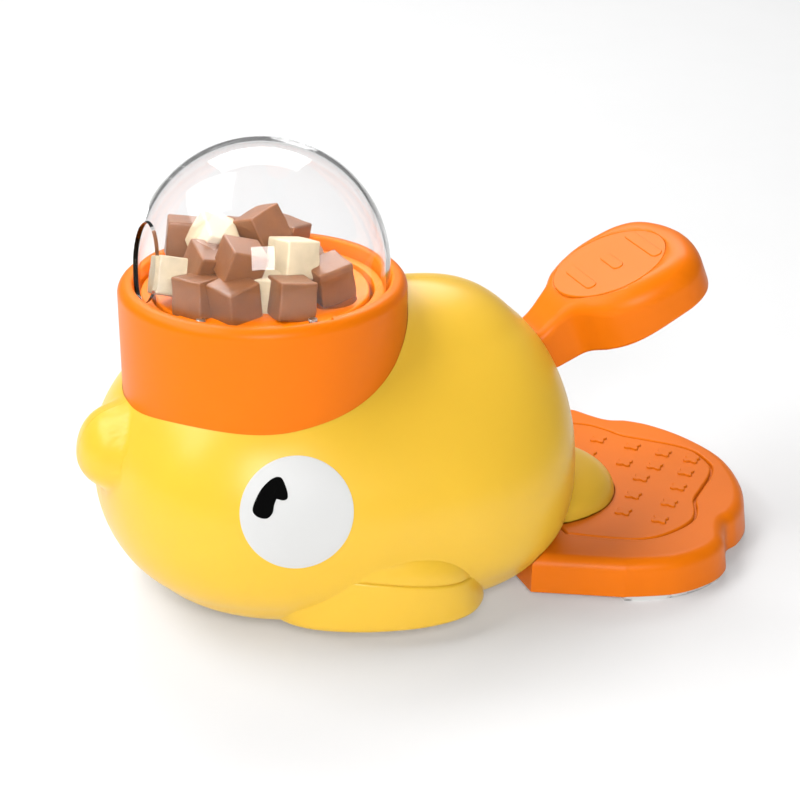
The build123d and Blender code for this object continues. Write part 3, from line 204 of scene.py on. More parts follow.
# Mouldings: colour, roughness, rubbed edges, shine, grain, light in the plastic and deepest pigment
MOULDINGS = {
    "yellow_shell": ("yellow", 0.32, 0.2, 0.5, 0.02, 0.06, 0.955),
    "orange_trim": ("orange", 0.37, 0.25, 0.2, 0.025, 0.05, 0.94),
    "white_eye": ("eye_white", 0.4, 0.1, 0.25, 0.015, 0.0, 0.97),
    "black_print": ("pupil_black", 0.5, 0.05, 0.0, 0.02, 0.0, 0.8),
    "white_works": ("works_white", 0.45, 0.2, 0.4, 0.05, 0.0, 0.93),
    "pale_foot": ("foot_pale", 0.6, 0.15, 0.3, 0.12, 0.0, 0.9),
    "foot_rubber": ("foot_black", 0.7, 0.3, 0.3, 0.2, 0.0, 0.7),
    "studio_paper": ("floor", 0.75, 0.0, 0.1, 0.03, 0.0, 0.985),
}
# Plastic: patches of pigment, rubbed colour, spread of gloss, scuffs, bump's reach in metres, paler bounce
DRIFT_SIZE, WORN_GAIN, WORN_LIFT = 16.0, 1.1, 0.06
GLOSS_SPREAD, SCUFFING, BUMP_REACH, CALM = 0.08, 0.05, 0.0004, 0.7
GLOW = {"Subsurface Radius": (1.0, 0.5, 0.15), "Subsurface Scale": 0.003}
CLEAR = {"Transmission Weight": 1.0, "IOR": 1.2, "Coat Weight": 0.4, "Coat Roughness": 0.015}
CLEAR_SHADOW = (0.96, 0.965, 0.97, 1.0)
# Scuffs: turn in radians and stretch of the marks in two directions
SCUFFS = ((0.6, (900.0, 40.0, 60.0)), (-0.9, (50.0, 1000.0, 45.0)))
WHITE = (1.0, 1.0, 1.0, 1.0)

# Studio: soft boxes with place, width and height in metres and power in watts, and strengths of the world
LIGHTS = (
    ("key_box", (-0.743, 0.397, 1.19), 0.9, 0.8, 10.0),
    ("back_box", (0.4, 1.5, 1.7), 1.8, 1.0, 32.0),
    ("front_box", (-0.5, -1.45, 0.9), 0.6, 0.6, 17.2),
    ("side_box", (-1.1, -0.25, 1.1), 0.5, 0.7, 5.5),
)
PAPER_GLOW = 0.1
SKY_LEVEL, SKY_TOP, SKY_FADE, SKY_SEEN, SKY_SHEEN = 0.06, 0.04, 0.6, 0.95, 0.25
SENSOR = 36.0


def colour(name, text, value):
    """Colour that a user can change."""
    return bpy.props.FloatVectorProperty(
        name=name, description=text, subtype="COLOR", size=3, min=0.0, max=1.0, default=value)


def length(name, text, value):
    """Length in metres that a user can change."""
    return bpy.props.FloatProperty(
        name=name, description=text, subtype="DISTANCE", unit="LENGTH", min=0.0, default=value)


class DuckColours(bpy.types.PropertyGroup):
    """Colours of the plastics, the dome and the treats."""

    yellow: colour("Yellow", "Casing, wings and tail ramp", (0.97, 0.588, 0.045))
    orange: colour("Orange", "Collar, hopper, paddle and tray", (0.97, 0.208, 0.002))
    eye_white: colour("Eye white", "Eye discs", (0.74, 0.74, 0.73))
    pupil_black: colour("Pupil black", "Pupils", (0.004, 0.004, 0.004))
    works_white: colour("Works white", "Inner moulded pieces", (0.74, 0.73, 0.69))
    foot_pale: colour("Foot pads", "Pads under the tray", (0.78, 0.78, 0.76))
    foot_black: colour("Foot rubber", "Pads under the casing", (0.03, 0.03, 0.03))
    steel: colour("Steel", "Screws, pins and spring", (0.56, 0.56, 0.55))
    clear: colour("Clear", "Tint of the dome", (0.955, 0.957, 0.96))
    brown: colour("Brown treat", "Brown treat cubes", (0.2, 0.068, 0.018))
    cream: colour("Cream treat", "Cream treat cubes", (0.54, 0.44, 0.29))
    floor: colour("Floor", "Studio floor", (0.85, 0.85, 0.85))


class DuckSizes(bpy.types.PropertyGroup):
    """Sizes of the dressed pieces that the solids leave open."""

    treat: length("Treat", "Edge of a treat cube", 0.0162)
    eye_proud: length("Eye rise", "How far an eye disc stands out of the casing", 0.00022)
    pupil_proud: length("Pupil rise", "How far a pupil stands out of the casing", 0.00036)
    beak_blend: length("Beak blend", "Width of the rounding where the beak joins the casing", 0.003)
    grain: length("Grain", "Size of the mould's fine grain", 0.00045)
    seam: length("Seam", "Gap between the casing's halves", 0.00024)
    floor: length("Floor", "Width of the studio floor", 4.6)


# Nodes, and shader groups that several materials share

def add_node(tree, kind, inputs=None, **settings):
    """Node with its settings, and a value or a link on each input that is named."""
    node = tree.nodes.new(kind)
    for key, value in settings.items():
        setattr(node, key, value)
    for key, value in (inputs or {}).items():
        if isinstance(value, bpy.types.NodeSocket):
            tree.links.new(value, node.inputs[key])
        else:
            node.inputs[key].default_value = value
    return node


def maths(tree, operation, first, second, clamp=False):
    """Result of a sum on two sockets or numbers."""
    node = add_node(tree, "ShaderNodeMath", {0: first, 1: second}, operation=operation, use_clamp=clamp)
    return node.outputs[0]


def noise(tree, vector, scale, detail, roughness=0.5):
    """Value of a noise texture."""
    inputs = {"Vector": vector, "Scale": scale, "Detail": detail, "Roughness": roughness}
    return add_node(tree, "ShaderNodeTexNoise", inputs).outputs["Fac"]


def ranged(tree, value, low, high, at_low=0.0, at_high=1.0):
    """Value carried from one range to another."""
    inputs = {"Value": value, "From Min": low, "From Max": high, "To Min": at_low, "To Max": at_high}
    return add_node(tree, "ShaderNodeMapRange", inputs).outputs["Result"]


def mixed(tree, share, first, second, kind="RGBA"):
    """Colour or number between two others."""
    inputs = {"Factor": share, "A": first, "B": second}
    return add_node(tree, "ShaderNodeMix", inputs, data_type=kind).outputs["Result"]


def group_of(name, inputs, outputs):
    """New shader group with a vector and named sockets; returns it with what it is given and gives."""
    tree = bpy.data.node_groups.new(name, "ShaderNodeTree")
    tree.interface.new_socket("Vector", in_out="INPUT", socket_type="NodeSocketVector")
    for title, value in inputs.items():
        kind = "NodeSocketFloat" if isinstance(value, float) else "NodeSocketColor"
        tree.interface.new_socket(title, in_out="INPUT", socket_type=kind).default_value = value
    for title in outputs:
        kind = "NodeSocketColor" if title == "Color" else "NodeSocketFloat"
        tree.interface.new_socket(title, in_out="OUTPUT", socket_type=kind)
    return tree, tree.nodes.new("NodeGroupInput").outputs, tree.nodes.new("NodeGroupOutput").inputs


def moulded_skin():
    """Fine mould grain with slow changes of gloss: gives a roughness and a height."""
    tree, given, gives = group_of(
        "moulded_skin", {"Grain": 2200.0, "Gloss": 0.3, "Spread": 0.06}, ("Roughness", "Height"))
    slow = noise(tree, given["Vector"], 22.0, 3.0)
    fine = noise(tree, given["Vector"], given["Grain"], 2.0, 0.6)
    swing = maths(tree, "MULTIPLY", maths(tree, "SUBTRACT", slow, 0.5), given["Spread"])
    tree.links.new(maths(tree, "ADD", swing, given["Gloss"]), gives["Roughness"])
    tree.links.new(fine, gives["Height"])
    return tree


def colour_drift():
    """Slight drift of the pigment through a moulded piece."""
    tree, given, gives = group_of("colour_drift", {"Base": WHITE, "Deep": WHITE, "Size": 14.0}, ("Color",))
    share = ranged(tree, noise(tree, given["Vector"], given["Size"], 4.0, 0.55), 0.35, 0.8)
    tree.links.new(mixed(tree, share, given["Base"], given["Deep"]), gives["Color"])
    return tree


def edge_wear():
    """Paler colour along rubbed edges, broken up by noise."""
    tree, given, gives = group_of("edge_wear", {"Color": WHITE, "Worn": WHITE, "Amount": 0.3}, ("Color",))
    shape = tree.nodes.new("ShaderNodeNewGeometry")
    rim = ranged(tree, shape.outputs["Pointiness"], 0.53, 0.62)
    broken = maths(tree, "MULTIPLY", rim, noise(tree, given["Vector"], 90.0, 5.0))
    share = maths(tree, "MULTIPLY", broken, given["Amount"])
    tree.links.new(mixed(tree, share, given["Color"], given["Worn"]), gives["Color"])
    return tree


def fine_scuffs():
    """Hair-thin handling marks in two directions."""
    tree, given, gives = group_of("fine_scuffs", {"Amount": 0.05}, ("Marks",))
    marks = []
    for turn, stretch in SCUFFS:
        inputs = {"Vector": given["Vector"], "Rotation": (0.2, 0.4, turn), "Scale": stretch}
        lay = add_node(tree, "ShaderNodeMapping", inputs)
        marks.append(ranged(tree, noise(tree, lay.outputs["Vector"], 1.0, 1.0), 0.7, 0.78))
    both = maths(tree, "MAXIMUM", *marks)
    tree.links.new(maths(tree, "MULTIPLY", both, given["Amount"]), gives["Marks"])
    return tree


def place_group(tree, make, place, **inputs):
    """Outputs of a group in a material; the group is made the first time that it is asked for."""
    group = bpy.data.node_groups.get(make.__name__) or make()
    return add_node(tree, "ShaderNodeGroup", {"Vector": place, **inputs}, node_tree=group).outputs


# Materials

def shade(tint, factor=1.0):
    """Colour with its alpha, made deeper or paler by a factor."""
    return tuple(min(1.0, part * factor) for part in tint) + (1.0,)


def blank_material(name):
    """New material with its tree, its shader and the coordinates on a piece."""
    made = bpy.data.materials.new(name)
    made.use_nodes = True
    tree = made.node_tree
    place = tree.nodes.new("ShaderNodeTexCoord").outputs["Object"]
    return made, tree, tree.nodes["Principled BSDF"], place


def set_sockets(shader, values):
    """Plain values on a shader's own sockets."""
    for key, value in values.items():
        shader.inputs[key].default_value = value


def give_skin(tree, shader, place, gloss, spread, grain, scuffs, strength, distance):
    """Link a skin's roughness, with scuffs where there are any, and its bump to a shader."""
    skin = place_group(tree, moulded_skin, place, Gloss=gloss, Spread=spread, Grain=grain)
    rough = skin["Roughness"]
    if scuffs:
        marks = place_group(tree, fine_scuffs, place, Amount=scuffs)["Marks"]
        rough = maths(tree, "ADD", rough, marks, True)
    inputs = {"Strength": strength, "Distance": distance, "Height": skin["Height"]}
    bump = add_node(tree, "ShaderNodeBump", inputs)
    tree.links.new(rough, shader.inputs["Roughness"])
    tree.links.new(bump.outputs["Normal"], shader.inputs["Normal"])


def moulded_plastic(name, tint, gloss, worn, shine, grain, glow, deep):
    """Moulded plastic with pigment drift, fine grain, scuffs and rubbed edges, and a calmer bounce."""
    made, tree, shader, place = blank_material(name)
    drift = place_group(tree, colour_drift, place, Base=shade(tint), Deep=shade(tint, deep), Size=DRIFT_SIZE)
    paler = shade([part * WORN_GAIN + WORN_LIFT for part in tint])
    wear = place_group(tree, edge_wear, place, Color=drift["Color"], Worn=paler, Amount=worn)
    fineness = 1.0 / bpy.context.scene.duck_sizes.grain
    give_skin(tree, shader, place, gloss, GLOSS_SPREAD, fineness, SCUFFING, grain, BUMP_REACH)
    path = tree.nodes.new("ShaderNodeLightPath")
    bounce = maths(tree, "MULTIPLY", path.outputs["Is Diffuse Ray"], CALM)
    calm = mixed(tree, bounce, wear["Color"], shade([sum(tint) / 3] * 3))
    tree.links.new(calm, shader.inputs["Base Color"])
    set_sockets(shader, {"IOR": 1.45, "Specular IOR Level": shine})
    if glow:
        set_sockets(shader, {"Subsurface Weight": glow, **GLOW})
    return made


def worked_steel(name, tint):
    """Drawn steel with fine lines and slight tarnish."""
    made, tree, shader, place = blank_material(name)
    drift = place_group(tree, colour_drift, place, Base=shade(tint), Deep=shade(tint, 0.7), Size=160.0)
    give_skin(tree, shader, place, 0.32, 0.2, 5000.0, 0.12, 0.05, 0.0002)
    tree.links.new(drift["Color"], shader.inputs["Base Color"])
    set_sockets(shader, {"Metallic": 1.0})
    return made


def clear_plastic(name, tint):
    """Clear moulded dome: bends light, lets the studio light through and carries faint marks."""
    made, tree, shader, place = blank_material(name)
    give_skin(tree, shader, place, 0.003, 0.006, 120.0, 0.012, 0.004, 0.0003)
    set_sockets(shader, {"Base Color": shade(tint), **CLEAR})
    path = tree.nodes.new("ShaderNodeLightPath")
    passing = add_node(tree, "ShaderNodeBsdfTransparent", {"Color": CLEAR_SHADOW})
    mix = add_node(tree, "ShaderNodeMixShader", {
        0: path.outputs["Is Shadow Ray"], 1: shader.outputs["BSDF"], 2: passing.outputs["BSDF"]})
    tree.links.new(mix.outputs[0], tree.nodes["Material Output"].inputs["Surface"])
    return made


def treat_crumb(name, tint):
    """Baked treat: matt, pitted and darker in its hollows."""
    made, tree, shader, place = blank_material(name)
    drift = place_group(tree, colour_drift, place, Base=shade(tint, 1.08), Deep=shade(tint, 0.74), Size=110.0)
    wear = place_group(tree, edge_wear, place, Color=drift["Color"], Worn=shade(tint, 1.35), Amount=0.8)
    give_skin(tree, shader, place, 0.36, 0.3, 260.0, 0.0, 0.16, 0.0012)
    tree.links.new(wear["Color"], shader.inputs["Base Color"])
    return made


def finish_of(slot):
    """Material for a slot, made the first time that it is asked for."""
    colours = bpy.context.scene.duck_colours
    if slot in MOULDINGS:
        key, *values = MOULDINGS[slot]
        name = slot + "_moulding"
        return bpy.data.materials.get(name) or moulded_plastic(name, getattr(colours, key), *values)
    name, make, tint = {
        "steel": ("drawn_steel", worked_steel, colours.steel),
        "clear_dome": ("clear_moulding", clear_plastic, colours.clear),
        "brown_treat": ("brown_crumb", treat_crumb, colours.brown),
        "cream_treat": ("cream_crumb", treat_crumb, colours.cream),
    }[slot]
    return bpy.data.materials.get(name) or make(name, tint)


# Meshes and pieces

def slot_of(node):
    """Record's material slot of a solid."""
    return next(part["material_slot"] for part in frame["record"]["subparts"] if part["node"] == node)


def body_of(node):
    """Moving body that a solid belongs to."""
    bodies = frame["record"]["behaviour"]["bodies"]
    return next(body for body, nodes in bodies.items() if node in nodes)


def new_piece(name, mesh, body, slot, nodes=(), crease=32.0):
    """Piece from a mesh, shaded, finished, riding on a body and standing for solids."""
    mesh.shade_smooth()
    mesh.set_sharp_from_angle(angle=math.radians(crease))
    piece = bpy.data.objects.new(name, mesh)
    bpy.context.scene.collection.objects.link(piece)
    mesh.materials.clear()
    mesh.materials.append(finish_of(slot))
    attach(piece, body)
    if nodes:
        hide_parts(*nodes)
    return piece


def mesh_from(points, faces, name):
    """Mesh from points in millimetres and faces, with outward faces."""
    mesh = bpy.data.meshes.new(name)
    mesh.from_pydata([[part * MM for part in point] for point in points], [], faces)
    form = bmesh.new()
    form.from_mesh(mesh)
    bmesh.ops.recalc_face_normals(form, faces=form.faces)
    form.to_mesh(mesh)
    form.free()
    return mesh


def ring_faces(rings, count, closed_rings=False):
    """Quads between neighbouring closed rings of points."""
    faces = []
    for ring in range(rings if closed_rings else rings - 1):
        here = ring * count
        after = (ring + 1) % rings * count
        for k in range(count):
            nxt = (k + 1) % count
            faces.append((here + k, here + nxt, after + nxt, after + k))
    return faces


def stacked(rings, name):
    """Closed mesh from rings of equal count, with flat ends."""
    count = len(rings[0])
    points = [point for ring in rings for point in ring]
    last = (len(rings) - 1) * count
    faces = ring_faces(len(rings), count)
    faces += [tuple(reversed(range(count))), tuple(range(last, last + count))]
    return mesh_from(points, faces, name)


def without_twins(mesh):
    """Mesh without the doubled slivers that a cut can leave."""
    form = bmesh.new()
    form.from_mesh(mesh)
    bmesh.ops.remove_doubles(form, verts=form.verts[:], dist=SLIVER)
    bmesh.ops.triangulate(form, faces=[face for face in form.faces if len(face.verts) > 4])
    form.verts.index_update()
    groups = {}
    for face in form.faces:
        groups.setdefault(frozenset(vert.index for vert in face.verts), []).append(face)
    twins = [face for group in groups.values() if len(group) > 1 for face in group]
    bmesh.ops.delete(form, geom=twins, context="FACES")
    form.to_mesh(mesh)
    form.free()
    return mesh


def applied(mesh, cuts, name, kind="DIFFERENCE"):
    """Mesh after other meshes are taken away from it, or after it is kept within them."""
    collection = bpy.context.scene.collection
    holder = bpy.data.objects.new(name + "_blank", mesh)
    collection.objects.link(holder)
    tools = []
    for cut in cuts:
        tool = bpy.data.objects.new(name + "_tool", cut)
        collection.objects.link(tool)
        change = holder.modifiers.new("cut", "BOOLEAN")
        change.object = tool
        change.operation = kind
        change.solver = "EXACT"
        tools.append(tool)
    graph = bpy.context.evaluated_depsgraph_get()
    made = bpy.data.meshes.new_from_object(holder.evaluated_get(graph))
    made.name = name
    for item in tools + [holder]:
        old = item.data
        bpy.data.objects.remove(item)
        bpy.data.meshes.remove(old)
    return made


def block(low, high):
    """Box tool between two corners."""
    (x0, y0, z0), (x1, y1, z1) = low, high
    points = [(x, y, z) for z in (z0, z1) for x, y in ((x0, y0), (x1, y0), (x1, y1), (x0, y1))]
    faces = [(0, 3, 2, 1), (4, 5, 6, 7), (0, 1, 5, 4), (1, 2, 6, 5), (2, 3, 7, 6), (3, 0, 4, 7)]
    return mesh_from(points, faces, "block")


def prism(outline, lift):
    """Closed tool from a flat outline of points, carried by a lift."""
    count = len(outline)
    points = outline + [tuple(a + b for a, b in zip(point, lift)) for point in outline]
    faces = [tuple(reversed(range(count))), tuple(range(count, 2 * count))]
    faces += [(k, (k + 1) % count, count + (k + 1) % count, count + k) for k in range(count)]
    return mesh_from(points, faces, "prism")


def circle(radius, count=160):
    """Points of a circle."""
    turns = [2 * math.pi * k / count for k in range(count)]
    return [(radius * math.cos(turn), radius * math.sin(turn)) for turn in turns]


def turned(profile, count):
    """Points of a profile of radius and height, turned about the hopper's axis."""
    return [(HOPPER_X + x, y, z) for radius, z in profile for x, y in circle(radius, count)]


def corner(radius, z, size, from_angle, to_angle, steps):
    """Rounded corner of a profile about a middle."""
    turns = [math.radians(from_angle + (to_angle - from_angle) * k / steps) for k in range(steps + 1)]
    return [(radius + size * math.cos(turn), z + size * math.sin(turn)) for turn in turns]


def through(points, steps):
    """Smooth line through points, each stretch a cubic that its neighbours set."""
    ends = [points[0]] + list(points) + [points[-1]]
    line = []
    for k in range(1, len(ends) - 2):
        a, b, c, d = ends[k - 1:k + 3]
        for step in range(steps):
            t = step / steps
            line.append(tuple(
                0.5 * (2 * q + (r - p) * t
                       + (2 * p - 5 * q + 4 * r - s) * t * t
                       + (3 * q - p - 3 * r + s) * t ** 3)
                for p, q, r, s in zip(a, b, c, d)))
    return line + [points[-1]]


def eased(low, high, value):
    """Smooth step from zero to one between two values."""
    share = max(0.0, min(1.0, (value - low) / (high - low)))
    return share * share * (3 - 2 * share)


def drawn_in(outline, insets):
    """Closed outline moved inward along its own normals, by one inset for each point."""
    count = len(outline)
    moved = []
    for k, (x, y) in enumerate(outline):
        ahead, behind = outline[(k + 1) % count], outline[k - 1]
        side = Vector((behind[1] - ahead[1], ahead[0] - behind[0])).normalized()
        moved.append((x + side.x * insets[k], y + side.y * insets[k]))
    return moved


def level(outline, inset, z):
    """Ring of an outline drawn in by an inset, at a height."""
    return [(x, y, z) for x, y in drawn_in(outline, [inset] * len(outline))]


def raised(outline, place, low, high, soft):
    """Raised form on a face, with a softly rounded upper edge."""
    rings = [[place(*spot, low) for spot in outline]]
    for step in range(5):
        turn = math.pi / 2 * step / 4
        line = drawn_in(outline, [soft * (1 - math.cos(turn))] * len(outline))
        rings.append([place(*spot, high - soft * (1 - math.sin(turn))) for spot in line])
    return stacked(rings, "raised")


def joined(meshes, name):
    """One mesh from several closed ones."""
    form = bmesh.new()
    for mesh in meshes:
        form.from_mesh(mesh)
        bpy.data.meshes.remove(mesh)
    made = bpy.data.meshes.new(name)
    form.to_mesh(made)
    form.free()
    return made


def mirrored(mesh, name):
    """Copy of a mesh on the other side of the middle plane."""
    other = mesh.copy()
    other.name = name
    other.transform(Matrix.Scale(-1, 4, (0, 1, 0)))
    other.flip_normals()
    return other


def evened(piece):
    """Piece with its flat faces shaded flat beside rounded edges."""
    even = piece.modifiers.new("even_normals", "WEIGHTED_NORMAL")
    even.keep_sharp = True
    return piece


def cad_copy(node):
    """Solid's own mesh as a new welded mesh."""
    form = bmesh.new()
    form.from_mesh(frame["nodes"][node].data)
    bmesh.ops.remove_doubles(form, verts=form.verts, dist=2 * SLIVER)
    bmesh.ops.dissolve_degenerate(form, edges=form.edges, dist=SLIVER)
    bmesh.ops.recalc_face_normals(form, faces=form.faces)
    mesh = bpy.data.meshes.new(node)
    form.to_mesh(mesh)
    form.free()
    return mesh


def dress(node, crease=32.0):
    """Solid carried over as a welded, smoothly shaded piece."""
    return evened(new_piece(node + "_dressed", cad_copy(node), body_of(node), slot_of(node), (node,), crease))


# Casing

def reach(z):
    """How far the casing reaches to the front, rear and sides at a height."""
    if z >= WAIST_Z:
        rise = min(1.0, (z - WAIST_Z) / CROWN)
        powers = (FRONT_POWER, REAR_POWER, SIDE_POWER)
    else:
        rise = min(1.0, (WAIST_Z - z) / BELLY)
        powers = (BELLY_POWER,) * 3
    return [size * (1 - rise ** power) ** (1 / power) for size, power in zip((FRONT, REAR, SIDE), powers)]


def eased_reach(z):
    """Reach with its change of curve at the waist eased out."""
    window = max(0.0, min(EASE_WINDOW, z - BASE_Z - EASE_BASE, WAIST_Z + CROWN - z - EASE_CROWN))
    samples = [reach(z + window * (k / EASE_STEPS - 1)) for k in range(2 * EASE_STEPS + 1)]
    return [sum(values) / len(samples) for values in zip(*samples)]


def oval(front, rear, side, z, count):
    """Points of the plan oval at a height, by quarters."""
    corners = ((rear, 0, 0, 1), (0, 1, -front, 0), (-front, 0, 0, -1), (0, -1, rear, 0))
    points = []
    for x0, y0, x1, y1 in corners:
        a, d = Vector((x0, y0 * side)), Vector((x1, y1 * side))
        if y0 == 0:
            b, c = Vector((x0, FULLNESS * y1 * side)), Vector((FULLNESS * x0, y1 * side))
        else:
            b, c = Vector((FULLNESS * x1, y0 * side)), Vector((x1, FULLNESS * y0 * side))
        for k in range(count):
            t = k / count
            spot = a * (1 - t) ** 3 + b * 3 * (1 - t) ** 2 * t + c * 3 * (1 - t) * t * t + d * t ** 3
            points.append((PEAK_X + spot.x, spot.y, z))
    return points


def with_beak(point, blend):
    """Casing point drawn out into the beak, with an eased joint."""
    x, y, z = point
    if x > BEAK_REAR:
        return point
    tall = BEAK_RISE if z > BEAK_Z else BEAK_DROP
    q = (y / BEAK_WIDE) ** 2 + ((z - BEAK_Z) / tall) ** 2
    bulb = BEAK_X - BEAK_LENGTH * math.sqrt(1 - q) if q < 1 else BEAK_X + BEAK_FLARE * (math.sqrt(q) - 1)
    near = max(blend - abs(x - bulb), 0.0) / blend
    return (min(x, bulb) - near * near * blend / 4, y, z)


def with_shoulder(point):
    """Casing point lifted a little where it meets the collar's sides."""
    x, y, z = point
    away = math.hypot(x - HOPPER_X, y)
    if z < WAIST_Z or away == 0:
        return point
    near = math.exp(-((away - COLLAR_RADIUS) / SHOULDER_SPREAD) ** 2)
    facing = eased(*SHOULDER_FACING, abs(y) / away) * (1 - eased(*SHOULDER_REAR, x - HOPPER_X))
    return (x, y, z + SHOULDER * near * facing)


def within(point):
    """Point of the casing's inner skin behind one of its outer skin."""
    x, y, z = point
    step = Vector((x - PEAK_X, y, (z - WAIST_Z) * WALL_LEAN)).normalized() * WALL
    return (x - step.x, y - step.y, max(BASE_Z + WALL, z - step.z))


def casing_mesh():
    """Outer and inner skin of the casing as one closed mesh, before its openings are cut."""
    blend = bpy.context.scene.duck_sizes.beak_blend / MM
    turns = [math.pi / 2 * k / BELLY_RINGS for k in range(BELLY_RINGS + 1)]
    heights = [BASE_Z + (WAIST_Z - BASE_Z) * (1 - math.cos(turn)) for turn in turns]
    heights += [WAIST_Z + CROWN * math.sin(math.pi / 2 * k / CROWN_RINGS) for k in range(1, CROWN_RINGS)]
    outer = []
    for z in heights:
        outer.append([with_shoulder(with_beak(point, blend)) for point in oval(*eased_reach(z), z, QUARTER)])
    inner = [[within(point) for point in ring] for ring in outer]
    rims = [oval(*BASE_OVAL, z, QUARTER) for z in (BASE_Z + WALL, BASE_Z)]
    rings = inner[::-1] + rims + outer
    count = 4 * QUARTER
    points = [point for ring in rings for point in ring]
    points += [(PEAK_X, 0.0, WAIST_Z + CROWN - WALL), (PEAK_X, 0.0, WAIST_Z + CROWN)]
    last = (len(rings) - 1) * count
    faces = ring_faces(len(rings), count)
    faces += [((k + 1) % count, k, len(points) - 2) for k in range(count)]
    faces += [(last + k, last + (k + 1) % count, len(points) - 1) for k in range(count)]
    return mesh_from(points, faces, "casing")


class DUCK_OT_casing(bpy.types.Operator):
    """Make both halves of the casing, with their openings"""
    bl_idname = "duck.casing"
    bl_label = "Casing"

    def execute(self, context):
        seam = context.scene.duck_sizes.seam / MM / 2
        collar = [(HOPPER_X + x, y, COLLAR_BOTTOM) for x, y in circle(COLLAR_RADIUS + COLLAR_ROOM)]
        line = [on_paddle(along, 0.0, NECK_CLEAR - droop(along)) for along in NECK_SLOT_STEPS]
        neck = [(line[-1][0], NECK_SLOT), (line[0][0], NECK_SLOT)] + [(x, z) for x, y, z in line]
        openings = [
            prism(collar, (0, 0, COLLAR_CUT)),
            prism([(x, -NECK_SLOT_HALF, z) for x, z in neck], (0, 2 * NECK_SLOT_HALF, 0)),
            block(*OUTLET),
            block(*RACK_ROOM),
        ]
        whole = applied(casing_mesh(), openings, "casing")
        for node, low, high in (("body_shell_left", -FAR, -seam), ("body_shell_right", seam, FAR)):
            side = block((-FAR, low, FAR_BELOW), (FAR, high, FAR))
            half = applied(whole.copy(), [side], node, "INTERSECT")
            new_piece(node + "_skin", without_twins(half), "housing", "yellow_shell", (node,), 40.0)
        bpy.data.meshes.remove(whole)
        return {"FINISHED"}


# Eyes and wings

def eye_axes():
    """Sideways, upward and outward directions of the left eye."""
    out = Vector(EYE_NORMAL).normalized()
    right = Vector((0, 0, 1)).cross(out).normalized()
    return right, out.cross(right), out


def laid_on(skin, outline, rise, steps, name):
    """Patch with an outline, laid on the casing's skin with a soft edge."""
    right, up, out = eye_axes()
    middle = Vector((sum(p[0] for p in outline), sum(p[1] for p in outline))) / len(outline)
    profile = list(PATCH_EDGE) + [(PATCH_FLAT * (1 - k / steps), 1.0) for k in range(1, steps)]
    rings = []
    for share, lift in profile:
        ring = []
        for x, y in outline:
            spot = middle + (Vector((x, y)) - middle) * share
            start = Vector(EYE_CENTER) + (right * spot.x + up * spot.y) * EYE_RADIUS + out * EYE_AWAY
            hit, normal, _, _ = skin.ray_cast(start * MM, -out)
            ring.append(tuple((hit + normal * rise * lift) / MM))
        rings.append(ring)
    return stacked(rings, name)


class DUCK_OT_eyes(bpy.types.Operator):
    """Lay the eye discs and pupils on the casing"""
    bl_idname = "duck.eyes"
    bl_label = "Eyes"

    def execute(self, context):
        sizes = context.scene.duck_sizes
        smooth = casing_mesh()
        form = bmesh.new()
        form.from_mesh(smooth)
        skin = BVHTree.FromBMesh(form)
        form.free()
        bpy.data.meshes.remove(smooth)
        white = laid_on(skin, circle(1.0, 128), sizes.eye_proud, 12, "eye")
        pupil = [(x, y + PUPIL_RISE) for x, y in through(PUPIL + PUPIL[:1], 10)[:-1]]
        dark = laid_on(skin, pupil, sizes.pupil_proud, 5, "pupil")
        for mesh, slot, word in ((white, "white_eye", "eye"), (dark, "black_print", "pupil")):
            other = mirrored(mesh, word + "_right")
            new_piece(word + "_left_disc", mesh, "housing", slot, (word + "_left",), 50.0)
            new_piece(word + "_right_disc", other, "housing", slot, (word + "_right",), 50.0)
        return {"FINISHED"}


class DUCK_OT_wings(bpy.types.Operator):
    """Make the low wings with their grooved upper panels"""
    bl_idname = "duck.wings"
    bl_label = "Wings"

    def execute(self, context):
        slope = math.tan(math.radians(WING_TILT))
        rings = []
        for inset, share in WING_LEVELS:
            rear = 1.0 - WING_LEAN * (1.0 + share)
            outline = []
            for x, y in WING:
                stretch = rear if x > 0 else WING_FORWARD
                outline.append((x * (WING_LENGTH - 2 * inset) * stretch, y * WING_REACH - inset))
            line = through(outline, 12)
            (first, _), (last, _) = line[0], line[-1]
            line += [(last + (first - last) * k / 16, WING_ROOT) for k in range(17)]
            ring = []
            for x, y in line:
                groove = WING_GROOVE - x * slope
                tall = groove - WING_BOTTOM if share < 0 else WING_CROWN
                ring.append((WING_X + x, -y, groove + tall * share))
            rings.append(ring)
        mesh = stacked(rings, "wing_left")
        other = mirrored(mesh, "wing_right")
        new_piece("wing_left_flipper", mesh, "housing", "yellow_shell", ("wing_left",), 60.0)
        new_piece("wing_right_flipper", other, "housing", "yellow_shell", ("wing_right",), 60.0)
        return {"FINISHED"}


# Hopper and dome

